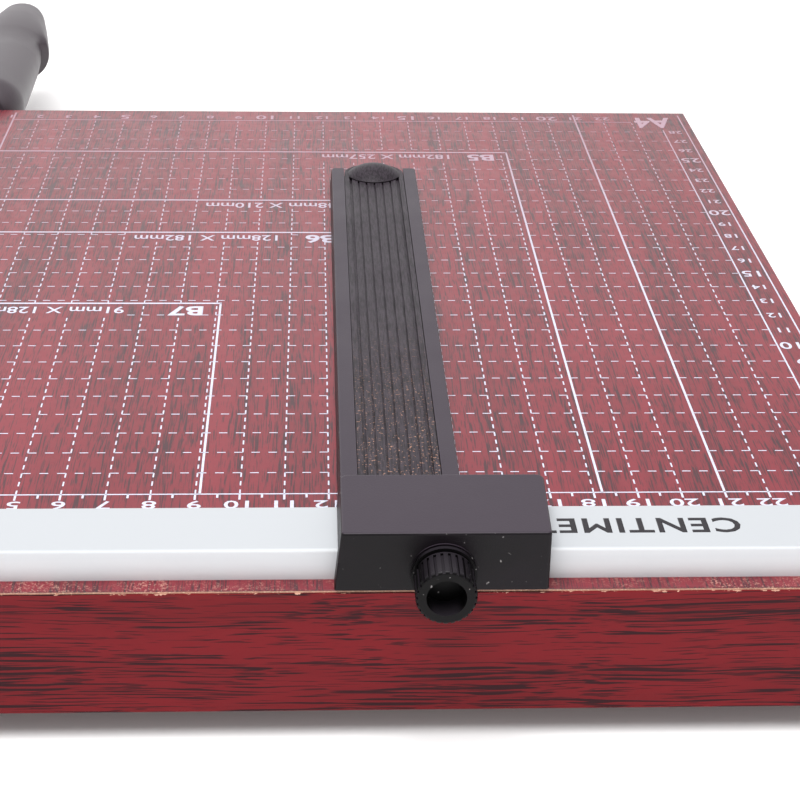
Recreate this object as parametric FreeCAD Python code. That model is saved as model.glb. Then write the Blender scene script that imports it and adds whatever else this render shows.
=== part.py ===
import FreeCAD
import Part

import math
import os

V = FreeCAD.Vector
X_AXIS = V(1, 0, 0)
Y_AXIS = V(0, 1, 0)
Z_AXIS = V(0, 0, 1)

# Guillotine paper cutter: a laminated wood board with a steel edge, a swinging blade arm,
# a plastic fence and a sliding gauge that reaches along the board.
# While it is laid out, X = 0 is the cutting plane with the blade on +X, Y = 0 is the zero
# line of the printed scale with the user on -Y, and Z = 0 is the table under the feet.
# The finished solids are then moved so that the origin is the middle of the footprint.

# ---------------------------------------------------------------- driving dimensions, mm
# board
BOARD_WIDTH = 251.0
BOARD_DEPTH = 323.0
BOARD_THICK = 30.0
ZERO_TO_BACK = 20.8
TOP_FILM = 0.4
BOTTOM_FILM = 0.3
EDGE_BAND = 0.4
BARE_EDGE = 0.8

# feet
FOOT_HEIGHT = 7.0
FOOT_TOP_R = 11.0
FOOT_BOTTOM_R = 9.5
FOOT_INSET = 24.0
FOOT_RECESS_R = 4.6
FOOT_WEB = 2.6

# fixed steel edge
KNIFE_THICK = 3.0
KNIFE_HEIGHT = 24.0
KNIFE_SCREWS = 5
KNIFE_SCREW_MARGIN = 34.0
KNIFE_SCREW_DROP = 15.0

# pivot
PIVOT_BACK_INSET = 10.4
PIVOT_DROP = 12.0
PIVOT_R = 4.0
BUSH_WALL = 1.5
HUB_R = 14.0
HUB_END = 17.0
RUNNING_GAP = 0.05
SIDE_GAP = 0.35
THRUST_WASHER = 0.6
PIVOT_BLOCK_THICK = 8.0
PIVOT_BLOCK_SIDE = 19.0
NUT_FLATS = 13.0
BOLT_HEAD = 5.3
NUT_THICK = 8.0
WASHER_R = 9.0
WASHER_THICK = 1.2
DISC_SPRINGS = 6
DISC_R = 8.0
DISC_THICK = 0.9
DISC_RISE = 0.7
BOLT_END = 1.8

# blade and arm
BLADE_THICK = 3.0
BLADE_END_CLEAR = 2.2
BLADE_START_CLEAR = 0.6
BLADE_BEVEL = 1.6
EDGE_AT_PIVOT = 18.0
EDGE_AT_MIDDLE = 25.0
EDGE_AT_END = 17.0
BLADE_SHOW = 8.0
BLADE_SCREWS = 5
BLADE_SCREW_MARGIN = 26.0
BLADE_OVERLAP = 15.0
ARM_WIDTH = 12.0
ARM_WEB = 4.0
ARM_RIM = 3.2
ARM_TOP_AT_END = 9.5
TANG_TOP = 5.0
TANG_BOTTOM = 7.0
TANG_THICK = 6.0
TANG_LENGTH = 46.0
ARM_NOSE = 6.0
ARM_RIBS = 4
RIB_THICK = 3.0

# handle grip
GRIP_START = 4.8
GRIP_LENGTH = 132.0
GRIP_AXIS_X = 4.0
GRIP_DROP = 3.0
NECK_HALF_WIDTH = 12.8
NECK_HALF_HEIGHT = 10.2
NECK_LENGTH = 81.0
GUARD_HALF_WIDTH = 14.6
GUARD_HALF_HEIGHT = 11.2
TIP_HALF_WIDTH = 9.6
TIP_HALF_HEIGHT = 8.4
TIP_ROUND = 11.0
TANG_FIT = 0.1
GRIP_BOLT_AT = 22.0
GRIP_BOLT_R = 2.5

# fence
FENCE_WIDTH = 18.0
FENCE_HEIGHT = 7.3
FENCE_FRONT = 1.5
FENCE_END_CLEAR = 1.5
FENCE_WALL = 2.2
FENCE_ROUND = 0.8
FENCE_SCREWS = 4
FENCE_SCREW_MARGIN = 18.0
FENCE_BOSS_R = 4.2

# gauge
SLIDE_GAP = 0.3
BOARD_GAP = 0.12
HEAD_AT = 122.2
HEAD_WIDTH = 43.0
HEAD_HEIGHT = 13.7
HEAD_FLARE = 1.4
HEAD_TAPER = 0.9
HEAD_BACK_WALL = 4.4
HEAD_FRONT_WALL = 2.2
HEAD_ROUND = 0.6
HEAD_CORNER = 1.8
HEAD_BACK_CORNER = 0.8
BOSS_R = 7.0
BOSS_PROUD = 0.3
GAUGE_WIDTH = 26.8
GAUGE_REACH = 226.0
GAUGE_HEIGHT = 5.2
GAUGE_DRAFT = 0.55
GAUGE_RAIL = 3.9
GAUGE_FLOOR = 1.2
GAUGE_UNDERCUT = 1.0
GAUGE_LIP = 1.8
GAUGE_END_ROUND = 1.2
SLIDER_GAP = 0.15
SLIDER_RAIL = 1.45
SLIDER_DROP = 0.2
PANEL_DROP = 0.3
EDGE_GROOVE = 0.9
EDGE_GROOVE_DEPTH = 1.0
RIB_GROOVES = 5
RIB_PITCH = 2.5
RIB_GROOVE = 0.5
RIB_GROOVE_DEPTH = 0.6
SLIDER_PAST_ARM = 4.0
SLIDER_START = 6.0
SLIDER_TIP_FLAT = 1.2
THUMB_SIDE = 1.0
THUMB_END = 0.6
THUMB_RISE = 3.0
GAUGE_SCREW_R = 1.25

# clamp knob
KNOB_UP = 4.3
KNOB_ACROSS = 21.05
KNOB_R = 6.3
KNOB_FLANGE_R = 6.8
KNOB_FLANGE = 1.0
KNOB_LENGTH = 9.2
KNOB_GAP = 0.4
KNOB_RECESS_R = 4.1
KNOB_RECESS = 5.5
KNOB_FLOOR = 1.2
KNOB_ROUND = 0.8
KNOB_NECK = 0.5
KNOB_FLUTES = 26
FLUTE_WIDE = 0.6
FLUTE_DEEP = 0.5
CLAMP_R = 2.5
INSERT_WALL = 1.0
PAD_THICK = 1.2

# safety latch
LATCH_THICK = 1.5
LATCH_WIDTH = 7.0
LATCH_IN = 10.0
LATCH_PIVOT_DROP = 9.5
LATCH_REACH = 26.0
LATCH_SCREW_R = 2.0
LATCH_FACE_GAP = 0.4

# arm stop
STOP_PLATE = 1.6
STOP_PLATE_IN = 24.0
STOP_PLATE_WIDE = 14.0
STOP_BUMPER_R = 4.4
STOP_AT = 12.0

# wood and machine screws
WOOD_SCREW_R = 1.9
WOOD_HEAD_R = 3.7
WOOD_HEAD = 2.4
WOOD_SCREW_LENGTH = 17.0
SCREW_R = 2.0
SCREW_HEAD_R = 3.8
SCREW_HEAD = 1.9
SCREW_NUT_FLATS = 7.0
SCREW_NUT = 2.4
SUNK = 0.1
CROSS_WIDE = 0.9

# ---------------------------------------------------------------- places worked out
Z_LOW = FOOT_HEIGHT
Z_TOP = FOOT_HEIGHT + BOARD_THICK
Y_BACK = ZERO_TO_BACK
Y_FRONT = Y_BACK - BOARD_DEPTH
X_SIDE = -BOARD_WIDTH
PIVOT_Y = Y_BACK - PIVOT_BACK_INSET
PIVOT_Z = Z_TOP - PIVOT_DROP
KNIFE_LOW = Z_TOP - KNIFE_HEIGHT

BLADE_IN = SIDE_GAP
BLADE_OUT = BLADE_IN + BLADE_THICK
ARM_OUT = BLADE_OUT + ARM_WIDTH
BLADE_START = PIVOT_Y - HUB_R - BLADE_START_CLEAR
BLADE_END = Y_FRONT + BLADE_END_CLEAR
BLADE_MID = (BLADE_START + BLADE_END) / 2
ARM_END = Y_FRONT - SLIDE_GAP - LATCH_FACE_GAP - LATCH_THICK - 1.5
TANG_Z = (Z_TOP + TANG_TOP - (TANG_BOTTOM + TANG_TOP) / 2)

GRIP_BACK = Y_FRONT - GRIP_START
GRIP_TIP = GRIP_BACK - GRIP_LENGTH
GRIP_Z = Z_TOP - GRIP_DROP

FENCE_Y0 = -FENCE_FRONT
FENCE_Y1 = FENCE_Y0 + FENCE_WIDTH
FENCE_TOP = Z_TOP + FENCE_HEIGHT
FENCE_X0 = X_SIDE + FENCE_END_CLEAR
FENCE_X1 = -FENCE_END_CLEAR

HEAD_X1 = -HEAD_AT
HEAD_X0 = HEAD_X1 - HEAD_WIDTH
HEAD_Y0 = FENCE_Y0 - SLIDE_GAP - HEAD_FRONT_WALL
HEAD_Y1 = FENCE_Y1 + SLIDE_GAP + HEAD_BACK_WALL
HEAD_TOP = Z_TOP + HEAD_HEIGHT
HEAD_LOW = Z_TOP + BOARD_GAP
GAUGE_X1 = HEAD_X1 - SLIDE_GAP
GAUGE_X0 = GAUGE_X1 - GAUGE_WIDTH
GAUGE_MID = (GAUGE_X0 + GAUGE_X1) / 2
GAUGE_TOP = HEAD_LOW + GAUGE_HEIGHT
KNOB_X = HEAD_X1 - KNOB_ACROSS
KNOB_Z = Z_TOP + KNOB_UP

LATCH_X = -LATCH_IN
LATCH_Z = Z_TOP - LATCH_PIVOT_DROP
LATCH_LEG = PIVOT_DROP + TANG_TOP - (PIVOT_DROP - LATCH_PIVOT_DROP) + SLIDE_GAP + LATCH_WIDTH / 2


# ---------------------------------------------------------------- helpers
def block(x, y, z):
    return Part.makeBox(x[1] - x[0], y[1] - y[0], z[1] - z[0], V(x[0], y[0], z[0]))


def rod(x, y, z, radius, length, axis):
    return Part.makeCylinder(radius, length, V(x, y, z), axis)


def tube(x, y, z, outer, inner, length, axis):
    return rod(x, y, z, outer, length, axis).cut(rod(x, y, z, inner, length, axis))


def prism(points, direction):
    wire = Part.makePolygon(points + [points[0]])
    return Part.Face(wire).extrude(direction)


def hexagon(x, y, z, flats, length, axis):
    bar = rod(x, y, z, flats, length, axis)
    side = V(0, 0, 1) if abs(axis.z) < 0.5 else V(0, 1, 0)
    base = V(x, y, z)
    for turn in range(6):
        away = FreeCAD.Rotation(axis, 60 * turn).multVec(side)
        slab = Part.makeBox(4 * flats, 4 * flats, 2 * flats)
        slab.translate(V(-2 * flats, -2 * flats, flats / 2))
        slab.Placement = FreeCAD.Placement(base, FreeCAD.Rotation(Z_AXIS, away)).multiply(slab.Placement)
        bar = bar.cut(slab)
    return bar


def sunk_screw(point, axis, head_r, head, radius, length):
    """A countersunk screw: point is the middle of its head, axis runs down the shank."""
    shape = Part.makeCone(head_r, radius, head, point, axis)
    shape = shape.fuse(Part.makeCylinder(radius, length, point, axis))
    return shape.removeSplitter()


def cross_recess(point, axis, head_r, depth):
    """The tool that cuts a cross recess into a screw head."""
    length = 1.1 * head_r
    arms = []
    for turned in (0, 90):
        arm = Part.makeBox(length, CROSS_WIDE, 2 * depth)
        arm.translate(V(-length / 2, -CROSS_WIDE / 2, -depth))
        arm.rotate(V(0, 0, 0), Z_AXIS, turned)
        arms.append(arm)
    tool = arms[0].fuse(arms[1])
    tool.Placement = FreeCAD.Placement(point, FreeCAD.Rotation(Z_AXIS, axis))
    return tool


def driven_screw(point, axis, head_r, head, radius, length):
    plain = sunk_screw(point, axis, head_r, head, radius, length)
    return plain.cut(cross_recess(point, axis, head_r, 0.6 * head))


def spread(start, end, count):
    return [start + (end - start) * i / (count - 1) for i in range(count)]


def cut_all(shape, tools):
    for tool in tools:
        shape = shape.cut(tool)
    return shape


def group(shapes):
    return Part.makeCompound(shapes)


# ---------------------------------------------------------------- fasteners of the board
def knife_screw_points():
    span = spread(Y_FRONT + KNIFE_SCREW_MARGIN, PIVOT_Y - HUB_R - KNIFE_SCREW_MARGIN, KNIFE_SCREWS)
    return [V(-SUNK, y, Z_TOP - KNIFE_SCREW_DROP) for y in span]


def knife_screws(make):
    return [make(p, -X_AXIS, WOOD_HEAD_R, WOOD_HEAD, WOOD_SCREW_R, WOOD_SCREW_LENGTH)
            for p in knife_screw_points()]


def foot_centres():
    xs = (X_SIDE + FOOT_INSET, -FOOT_INSET - STOP_PLATE_IN / 2)
    ys = (Y_FRONT + FOOT_INSET + STOP_AT, Y_BACK - FOOT_INSET)
    return [(x, y) for x in xs for y in ys]


def foot_screws(make):
    seat = FOOT_HEIGHT - FOOT_WEB
    return [make(V(x, y, seat), Z_AXIS, WOOD_HEAD_R, WOOD_HEAD, WOOD_SCREW_R, WOOD_SCREW_LENGTH)
            for x, y in foot_centres()]


def fence_screw_points():
    middle = (FENCE_Y0 + FENCE_Y1) / 2
    span = spread(FENCE_X0 + FENCE_SCREW_MARGIN, FENCE_X1 - FENCE_SCREW_MARGIN, FENCE_SCREWS)
    return [V(x, middle, Z_LOW + SUNK) for x in span]


def fence_screws(make):
    length = BOARD_THICK + FENCE_HEIGHT - FENCE_WALL
    return [make(p, Z_AXIS, WOOD_HEAD_R, WOOD_HEAD, WOOD_SCREW_R, length)
            for p in fence_screw_points()]


def stop_screw_points():
    y = Y_FRONT + STOP_AT
    return [V(-STOP_PLATE_IN + 5.0, y, Z_LOW + SUNK), V(-STOP_PLATE_IN + 15.0, y, Z_LOW + SUNK)]


def stop_screws(make):
    return [make(p, Z_AXIS, SCREW_HEAD_R - 0.6, STOP_PLATE - 0.3, SCREW_R - 0.4, 12.0)
            for p in stop_screw_points()]


def latch_screw(make):
    point = V(LATCH_X, Y_FRONT - LATCH_FACE_GAP - LATCH_THICK - SLIDE_GAP - 2.0, LATCH_Z)
    return make(point, Y_AXIS)


def latch_screw_shape(point, axis):
    """A pan-head shoulder screw that the latch turns on."""
    neck = Y_FRONT - point.y
    shape = Part.makeCylinder(LATCH_SCREW_R + 1.8, 2.0, point, axis)
    shape = shape.fuse(Part.makeCylinder(LATCH_SCREW_R, neck + 14.0, point, axis))
    shape = shape.removeSplitter()
    return shape.cut(cross_recess(point, axis, LATCH_SCREW_R + 1.0, 1.0))


# ---------------------------------------------------------------- board
def knife_bar():
    return block((-KNIFE_THICK, 0), (Y_FRONT, Y_BACK), (KNIFE_LOW, Z_TOP))


def pivot_block_shape():
    half = PIVOT_BLOCK_SIDE / 2
    return block((-KNIFE_THICK - PIVOT_BLOCK_THICK, -KNIFE_THICK),
                 (PIVOT_Y - half, PIVOT_Y + half), (PIVOT_Z - half, PIVOT_Z + half))


def bolt_pocket():
    start = -KNIFE_THICK - PIVOT_BLOCK_THICK
    return rod(start, PIVOT_Y, PIVOT_Z, NUT_FLATS / 2 + 1.4, BOLT_HEAD + 1.0, -X_AXIS)


def stop_plate_shape():
    y = Y_FRONT + STOP_AT
    plate = block((-STOP_PLATE_IN, ARM_OUT), (y - STOP_PLATE_WIDE / 2, y + STOP_PLATE_WIDE / 2),
                  (Z_LOW, Z_LOW + STOP_PLATE))
    corners = [e for e in plate.Edges if abs(e.tangentAt(e.FirstParameter).z) > 0.99]
    return plate.makeFillet(3.0, corners)


def make_base_core():
    core = block((X_SIDE + EDGE_BAND, 0), (Y_FRONT + EDGE_BAND, Y_BACK - EDGE_BAND),
                 (Z_LOW + BOTTOM_FILM, Z_TOP - TOP_FILM))
    band = block((-EDGE_BAND, 0), (Y_FRONT, Y_BACK), (Z_LOW, KNIFE_LOW))
    tools = [knife_bar(), band, pivot_block_shape(), bolt_pocket(), stop_plate_shape()]
    tools += knife_screws(sunk_screw)
    tools += foot_screws(sunk_screw)
    tools += fence_screws(sunk_screw)
    tools += stop_screws(sunk_screw)
    tools.append(latch_screw(latch_screw_shape))
    return cut_all(core, tools)


def make_top_film():
    film = block((X_SIDE + EDGE_BAND, -KNIFE_THICK),
                 (Y_FRONT + EDGE_BAND, Y_BACK - EDGE_BAND), (Z_TOP - TOP_FILM, Z_TOP))
    return cut_all(film, fence_screws(sunk_screw))


def make_bottom_film():
    film = block((X_SIDE + EDGE_BAND, -EDGE_BAND),
                 (Y_FRONT + EDGE_BAND, Y_BACK - EDGE_BAND), (Z_LOW, Z_LOW + BOTTOM_FILM))
    tools = foot_screws(sunk_screw) + fence_screws(sunk_screw) + [stop_plate_shape()]
    return cut_all(film, tools)


def make_edge_bands():
    height = (Z_LOW, Z_TOP - BARE_EDGE)
    inner = (X_SIDE, -KNIFE_THICK)
    back = block(inner, (Y_BACK - EDGE_BAND, Y_BACK), height)
    front = block(inner, (Y_FRONT, Y_FRONT + EDGE_BAND), height)
    front = front.cut(latch_screw(latch_screw_shape))
    side = block((X_SIDE, X_SIDE + EDGE_BAND), (Y_FRONT + EDGE_BAND, Y_BACK - EDGE_BAND), height)
    cut_side = block((-EDGE_BAND, 0), (Y_FRONT + EDGE_BAND, Y_BACK - EDGE_BAND),
                     (Z_LOW, KNIFE_LOW)).cut(stop_plate_shape())
    return {"back_edge_band": back, "front_edge_band": front,
            "side_edge_band": side, "cut_side_edge_band": cut_side}


def make_feet():
    feet = []
    for x, y in foot_centres():
        foot = Part.makeCone(FOOT_BOTTOM_R, FOOT_TOP_R, FOOT_HEIGHT, V(x, y, 0), Z_AXIS)
        foot = foot.cut(rod(x, y, 0, FOOT_RECESS_R, FOOT_HEIGHT - FOOT_WEB, Z_AXIS))
        feet.append(cut_all(foot, foot_screws(sunk_screw)))
    return group(feet)


def make_bed_knife():
    bar = knife_bar().cut(rod(-KNIFE_THICK, PIVOT_Y, PIVOT_Z, PIVOT_R, KNIFE_THICK, X_AXIS))
    return cut_all(bar, knife_screws(sunk_screw))


def make_stop_bracket():
    return cut_all(stop_plate_shape(), stop_screws(sunk_screw))


def bumper_top():
    lowest = min(arm_low_at(Y_FRONT + STOP_AT + side * STOP_BUMPER_R) for side in (-1, 1))
    return lowest - 2 * SLIDE_GAP


def make_stop_bumper():
    base = Z_LOW + STOP_PLATE
    x = BLADE_OUT + 1.2 + STOP_BUMPER_R
    y = Y_FRONT + STOP_AT
    bumper = rod(x, y, base, STOP_BUMPER_R, bumper_top() - base, Z_AXIS)
    rims = [e for e in bumper.Edges if abs(e.Length - 2 * math.pi * STOP_BUMPER_R) < 0.01]
    top = [e for e in rims if e.BoundBox.ZMin > base + 1]
    return bumper.makeFillet(1.0, top)


# ---------------------------------------------------------------- pivot
def make_pivot_block():
    hole = rod(-KNIFE_THICK - PIVOT_BLOCK_THICK, PIVOT_Y, PIVOT_Z, PIVOT_R, PIVOT_BLOCK_THICK, X_AXIS)
    return pivot_block_shape().cut(hole)


def pivot_stack():
    """Where each piece on the bolt starts along X, from the fixed steel edge outwards."""
    seat = HUB_END
    springs = seat + WASHER_THICK + SLIDE_GAP
    washer = springs + DISC_SPRINGS * (DISC_THICK + DISC_RISE)
    nut = washer + WASHER_THICK
    end = nut + NUT_THICK + BOLT_END
    return {"seat": seat, "springs": springs, "washer": washer, "nut": nut, "end": end}


def make_pivot_bolt():
    start = -KNIFE_THICK - PIVOT_BLOCK_THICK
    head = hexagon(start - BOLT_HEAD, PIVOT_Y, PIVOT_Z, NUT_FLATS, BOLT_HEAD, X_AXIS)
    shank = rod(start, PIVOT_Y, PIVOT_Z, PIVOT_R, pivot_stack()["end"] - start, X_AXIS)
    tip = [e for e in shank.Edges if e.BoundBox.XMin > pivot_stack()["end"] - 0.01]
    return head.fuse(shank.makeChamfer(0.8, tip)).removeSplitter()


def make_disc_springs():
    """Dished spring washers, set face to face in pairs, that press the arm against the steel edge."""
    inner = PIVOT_R + RUNNING_GAP
    height = DISC_THICK + DISC_RISE
    discs = []
    for i in range(DISC_SPRINGS):
        low, high = (DISC_RISE, 0) if i % 2 else (0, DISC_RISE)
        start = pivot_stack()["springs"] + i * height
        outline = [V(start + low, inner, 0), V(start + high, DISC_R, 0),
                   V(start + high + DISC_THICK, DISC_R, 0), V(start + low + DISC_THICK, inner, 0)]
        face = Part.Face(Part.makePolygon(outline + [outline[0]]))
        disc = face.revolve(V(0, 0, 0), X_AXIS, 360)
        disc.translate(V(0, PIVOT_Y, PIVOT_Z))
        discs.append(disc)
    return group(discs)


def make_pivot_nut():
    start = pivot_stack()["nut"]
    nut = hexagon(start, PIVOT_Y, PIVOT_Z, NUT_FLATS, NUT_THICK - 2.0, X_AXIS)
    collar = rod(start + NUT_THICK - 2.0, PIVOT_Y, PIVOT_Z, NUT_FLATS / 2 - 0.4, 2.0, X_AXIS)
    nut = nut.fuse(collar).removeSplitter()
    return nut.cut(rod(start, PIVOT_Y, PIVOT_Z, PIVOT_R, NUT_THICK, X_AXIS))


def washer(start, thick, outer):
    return tube(start, PIVOT_Y, PIVOT_Z, outer, PIVOT_R + RUNNING_GAP, thick, X_AXIS)


# ---------------------------------------------------------------- blade arm
def edge_drop(y):
    """How far the blade's cutting edge lies under the board's top when the arm is down."""
    t = (y - BLADE_START) / (BLADE_END - BLADE_START)
    ends = EDGE_AT_PIVOT * (1 - t) + EDGE_AT_END * t
    bow = EDGE_AT_MIDDLE - (EDGE_AT_PIVOT + EDGE_AT_END) / 2
    return ends + bow * 4 * t * (1 - t)


def arm_low_at(y):
    return Z_TOP - edge_drop(y) + BLADE_SHOW


def arm_top_at(y):
    """The arm's upper edge: a straight line from the hub to the handle end."""
    t = (PIVOT_Y - y) / (PIVOT_Y - BLADE_END)
    return (PIVOT_Z + HUB_R) * (1 - t) + (Z_TOP + ARM_TOP_AT_END) * t


def low_arc(raise_by):
    ends = [V(0, y, Z_TOP - edge_drop(y) + raise_by) for y in (BLADE_START, BLADE_MID, BLADE_END)]
    return Part.Arc(ends[0], ends[1], ends[2]).toShape()


def arm_outline(inset):
    """The arm's side view between the hub and the handle, drawn in by inset all round."""
    start = BLADE_START - inset
    end = BLADE_END + inset
    low = [V(0, y, arm_low_at(y) + inset) for y in (start, (start + end) / 2, end)]
    top_start = V(0, start, arm_top_at(start) - inset)
    top_end = V(0, end, arm_top_at(end) - inset)
    edges = [Part.Arc(low[0], low[1], low[2]).toShape(), Part.makeLine(low[2], top_end),
             Part.makeLine(top_end, top_start), Part.makeLine(top_start, low[0])]
    return Part.Face(Part.Wire(edges))


def blade_screw_points():
    span = spread(BLADE_START - BLADE_SCREW_MARGIN, BLADE_END + BLADE_SCREW_MARGIN, BLADE_SCREWS)
    return [V(BLADE_IN + SUNK, y, arm_low_at(y) + BLADE_OVERLAP / 2) for y in span]


def blade_screws(make):
    length = BLADE_THICK + ARM_WEB + SCREW_NUT + 1.0
    return [make(p, X_AXIS, SCREW_HEAD_R, SCREW_HEAD, SCREW_R, length) for p in blade_screw_points()]


def tang_shape(grow):
    y = (Y_FRONT - GRIP_START - TANG_LENGTH - grow, BLADE_END)
    return block((BLADE_OUT - grow, BLADE_OUT + TANG_THICK + grow), y,
                 (Z_TOP - TANG_BOTTOM - grow, Z_TOP + TANG_TOP + grow))


def make_arm():
    body = arm_outline(0).extrude(V(ARM_WIDTH, 0, 0))
    body.translate(V(BLADE_OUT, 0, 0))
    pocket = arm_outline(ARM_RIM).extrude(V(ARM_WIDTH, 0, 0))
    pocket.translate(V(BLADE_OUT + ARM_WEB, 0, 0))
    span = blade_screw_points()
    for i in range(ARM_RIBS):
        y = (span[i].y + span[i + 1].y) / 2
        rib = block((0, 40), (y - RIB_THICK / 2, y + RIB_THICK / 2), (0, 80))
        pocket = pocket.cut(rib)
    body = body.cut(pocket)
    hub = rod(THRUST_WASHER + SLIDE_GAP, PIVOT_Y, PIVOT_Z, HUB_R, HUB_END - THRUST_WASHER - SLIDE_GAP, X_AXIS)
    shoulder = prism([V(BLADE_OUT, PIVOT_Y, PIVOT_Z - HUB_R),
                      V(BLADE_OUT, BLADE_START, arm_low_at(BLADE_START)),
                      V(BLADE_OUT, BLADE_START, arm_top_at(BLADE_START)),
                      V(BLADE_OUT, PIVOT_Y, PIVOT_Z + HUB_R)], V(ARM_WIDTH, 0, 0))
    nose = prism([V(BLADE_OUT, BLADE_END, arm_low_at(BLADE_END)),
                  V(BLADE_OUT, BLADE_END, arm_top_at(BLADE_END)),
                  V(BLADE_OUT, BLADE_END - ARM_NOSE / 3, Z_TOP + TANG_TOP),
                  V(BLADE_OUT, BLADE_END - ARM_NOSE / 3, Z_TOP - TANG_BOTTOM)], V(ARM_WIDTH, 0, 0))
    arm = body.fuse([hub, shoulder, nose, tang_shape(0)]).removeSplitter()
    arm = arm.cut(rod(0, PIVOT_Y, PIVOT_Z, PIVOT_R + RUNNING_GAP + BUSH_WALL, HUB_END + 1, X_AXIS))
    arm = cut_all(arm, blade_screws(sunk_screw))
    return arm.cut(rod(-20, grip_bolt_y(), GRIP_Z, GRIP_BOLT_R, 60, X_AXIS))


def make_blade():
    """A flat steel strip whose lower edge bows down and is ground to a bevel."""
    low = [V(0, y, Z_TOP - edge_drop(y)) for y in (BLADE_START, BLADE_MID, BLADE_END)]
    top = [V(0, y, arm_low_at(y) + BLADE_OVERLAP) for y in (BLADE_START, BLADE_MID, BLADE_END)]
    edges = [Part.Arc(low[0], low[1], low[2]).toShape(), Part.makeLine(low[2], top[2]),
             Part.Arc(top[2], top[1], top[0]).toShape(), Part.makeLine(top[0], low[0])]
    blade = Part.Face(Part.Wire(edges)).extrude(V(BLADE_THICK, 0, 0))
    outer = [e for e in blade.Edges
             if e.BoundBox.XMin > BLADE_THICK - 0.01 and e.BoundBox.ZMax < Z_TOP - EDGE_AT_END + 0.01
             and e.Length > 0.5 * abs(BLADE_END - BLADE_START)]
    blade = blade.makeChamfer(BLADE_BEVEL, outer)
    blade.translate(V(BLADE_IN, 0, 0))
    return cut_all(blade, blade_screws(sunk_screw))


def make_blade_nuts():
    start = BLADE_OUT + ARM_WEB
    nuts = []
    for p in blade_screw_points():
        nut = hexagon(start, p.y, p.z, SCREW_NUT_FLATS, SCREW_NUT, X_AXIS)
        nuts.append(nut.cut(rod(start, p.y, p.z, SCREW_R, SCREW_NUT, X_AXIS)))
    return group(nuts)


# ---------------------------------------------------------------- handle grip
def grip_bolt_y():
    return GRIP_BACK - GRIP_BOLT_AT


def oval(y, half_width, half_height):
    """A closed rounded section across the grip, wider than high."""
    centre = V(GRIP_AXIS_X, y, GRIP_Z)
    if half_width >= half_height:
        ellipse = Part.Ellipse(V(GRIP_AXIS_X + half_width, y, GRIP_Z), centre + V(0, 0, half_height), centre)
    else:
        ellipse = Part.Ellipse(centre + V(0, 0, half_height), centre + V(half_width, 0, 0), centre)
    return Part.Wire(ellipse.toShape())


def make_handle_grip():
    guard_y = GRIP_BACK - NECK_LENGTH
    overlap = 12.0
    neck = Part.makeLoft([oval(GRIP_BACK, NECK_HALF_WIDTH, NECK_HALF_HEIGHT),
                          oval(guard_y - overlap, NECK_HALF_WIDTH, NECK_HALF_HEIGHT)], True, True)
    tip_start = GRIP_TIP + TIP_ROUND
    sections = [(guard_y + 2.0, GUARD_HALF_WIDTH - 1.6, GUARD_HALF_HEIGHT - 1.4),
                (guard_y, GUARD_HALF_WIDTH, GUARD_HALF_HEIGHT),
                (guard_y - 12.0, GUARD_HALF_WIDTH - 0.8, GUARD_HALF_HEIGHT),
                (tip_start, TIP_HALF_WIDTH, TIP_HALF_HEIGHT)]
    for i in range(1, 6):
        angle = math.radians(16 * i)
        share = math.cos(angle)
        y = tip_start - TIP_ROUND * math.sin(angle)
        sections.append((y, TIP_HALF_WIDTH * share, TIP_HALF_HEIGHT * share))
    palm = Part.makeLoft([oval(y, w, h) for y, w, h in sections], True, True)
    grip = neck.fuse(palm).removeSplitter()
    grip = grip.cut(tang_shape(TANG_FIT))
    grip = grip.cut(rod(-20, grip_bolt_y(), GRIP_Z, GRIP_BOLT_R, 60, X_AXIS))
    return grip.cut(grip_counterbores())


def grip_counterbores():
    low = GRIP_AXIS_X - NECK_HALF_WIDTH + 4.2
    high = GRIP_AXIS_X + NECK_HALF_WIDTH - 3.4
    head = rod(high, grip_bolt_y(), GRIP_Z, 4.8, 10, X_AXIS)
    nut = hexagon(low, grip_bolt_y(), GRIP_Z, 8.0, 10, -X_AXIS)
    return head.fuse(nut)


def make_grip_bolt():
    low = GRIP_AXIS_X - NECK_HALF_WIDTH + 4.2
    high = GRIP_AXIS_X + NECK_HALF_WIDTH - 3.4
    y = grip_bolt_y()
    bolt = rod(low - 3.6, y, GRIP_Z, GRIP_BOLT_R, high - low + 3.6, X_AXIS)
    head = rod(high, y, GRIP_Z, 4.4, 2.6, X_AXIS)
    bolt = bolt.fuse(head).removeSplitter()
    return bolt.cut(cross_recess(V(high + 2.6, y, GRIP_Z), -X_AXIS, 4.0, 1.4))


def make_grip_nut():
    low = GRIP_AXIS_X - NECK_HALF_WIDTH + 4.2
    y = grip_bolt_y()
    nut = hexagon(low, y, GRIP_Z, 7.9, 3.2, -X_AXIS)
    return nut.cut(rod(low, y, GRIP_Z, GRIP_BOLT_R, 10, -X_AXIS))


# ---------------------------------------------------------------- fence
def make_fence():
    body = block((FENCE_X0, FENCE_X1), (FENCE_Y0, FENCE_Y1), (Z_TOP, FENCE_TOP))
    top = [e for e in body.Edges if e.BoundBox.ZMin > FENCE_TOP - 0.01 and e.Length > FENCE_WIDTH + 1]
    body = body.makeFillet(FENCE_ROUND, top)
    hollow = block((FENCE_X0 + FENCE_WALL, FENCE_X1 - FENCE_WALL),
                   (FENCE_Y0 + FENCE_WALL, FENCE_Y1 - FENCE_WALL), (Z_TOP, FENCE_TOP - FENCE_WALL))
    for p in fence_screw_points():
        boss = rod(p.x, p.y, Z_TOP, FENCE_BOSS_R, FENCE_HEIGHT, Z_AXIS)
        web = block((p.x - 0.8, p.x + 0.8), (FENCE_Y0, FENCE_Y1), (Z_TOP, FENCE_TOP))
        hollow = hollow.cut(boss).cut(web)
    return cut_all(body.cut(hollow), fence_screws(sunk_screw))


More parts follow.
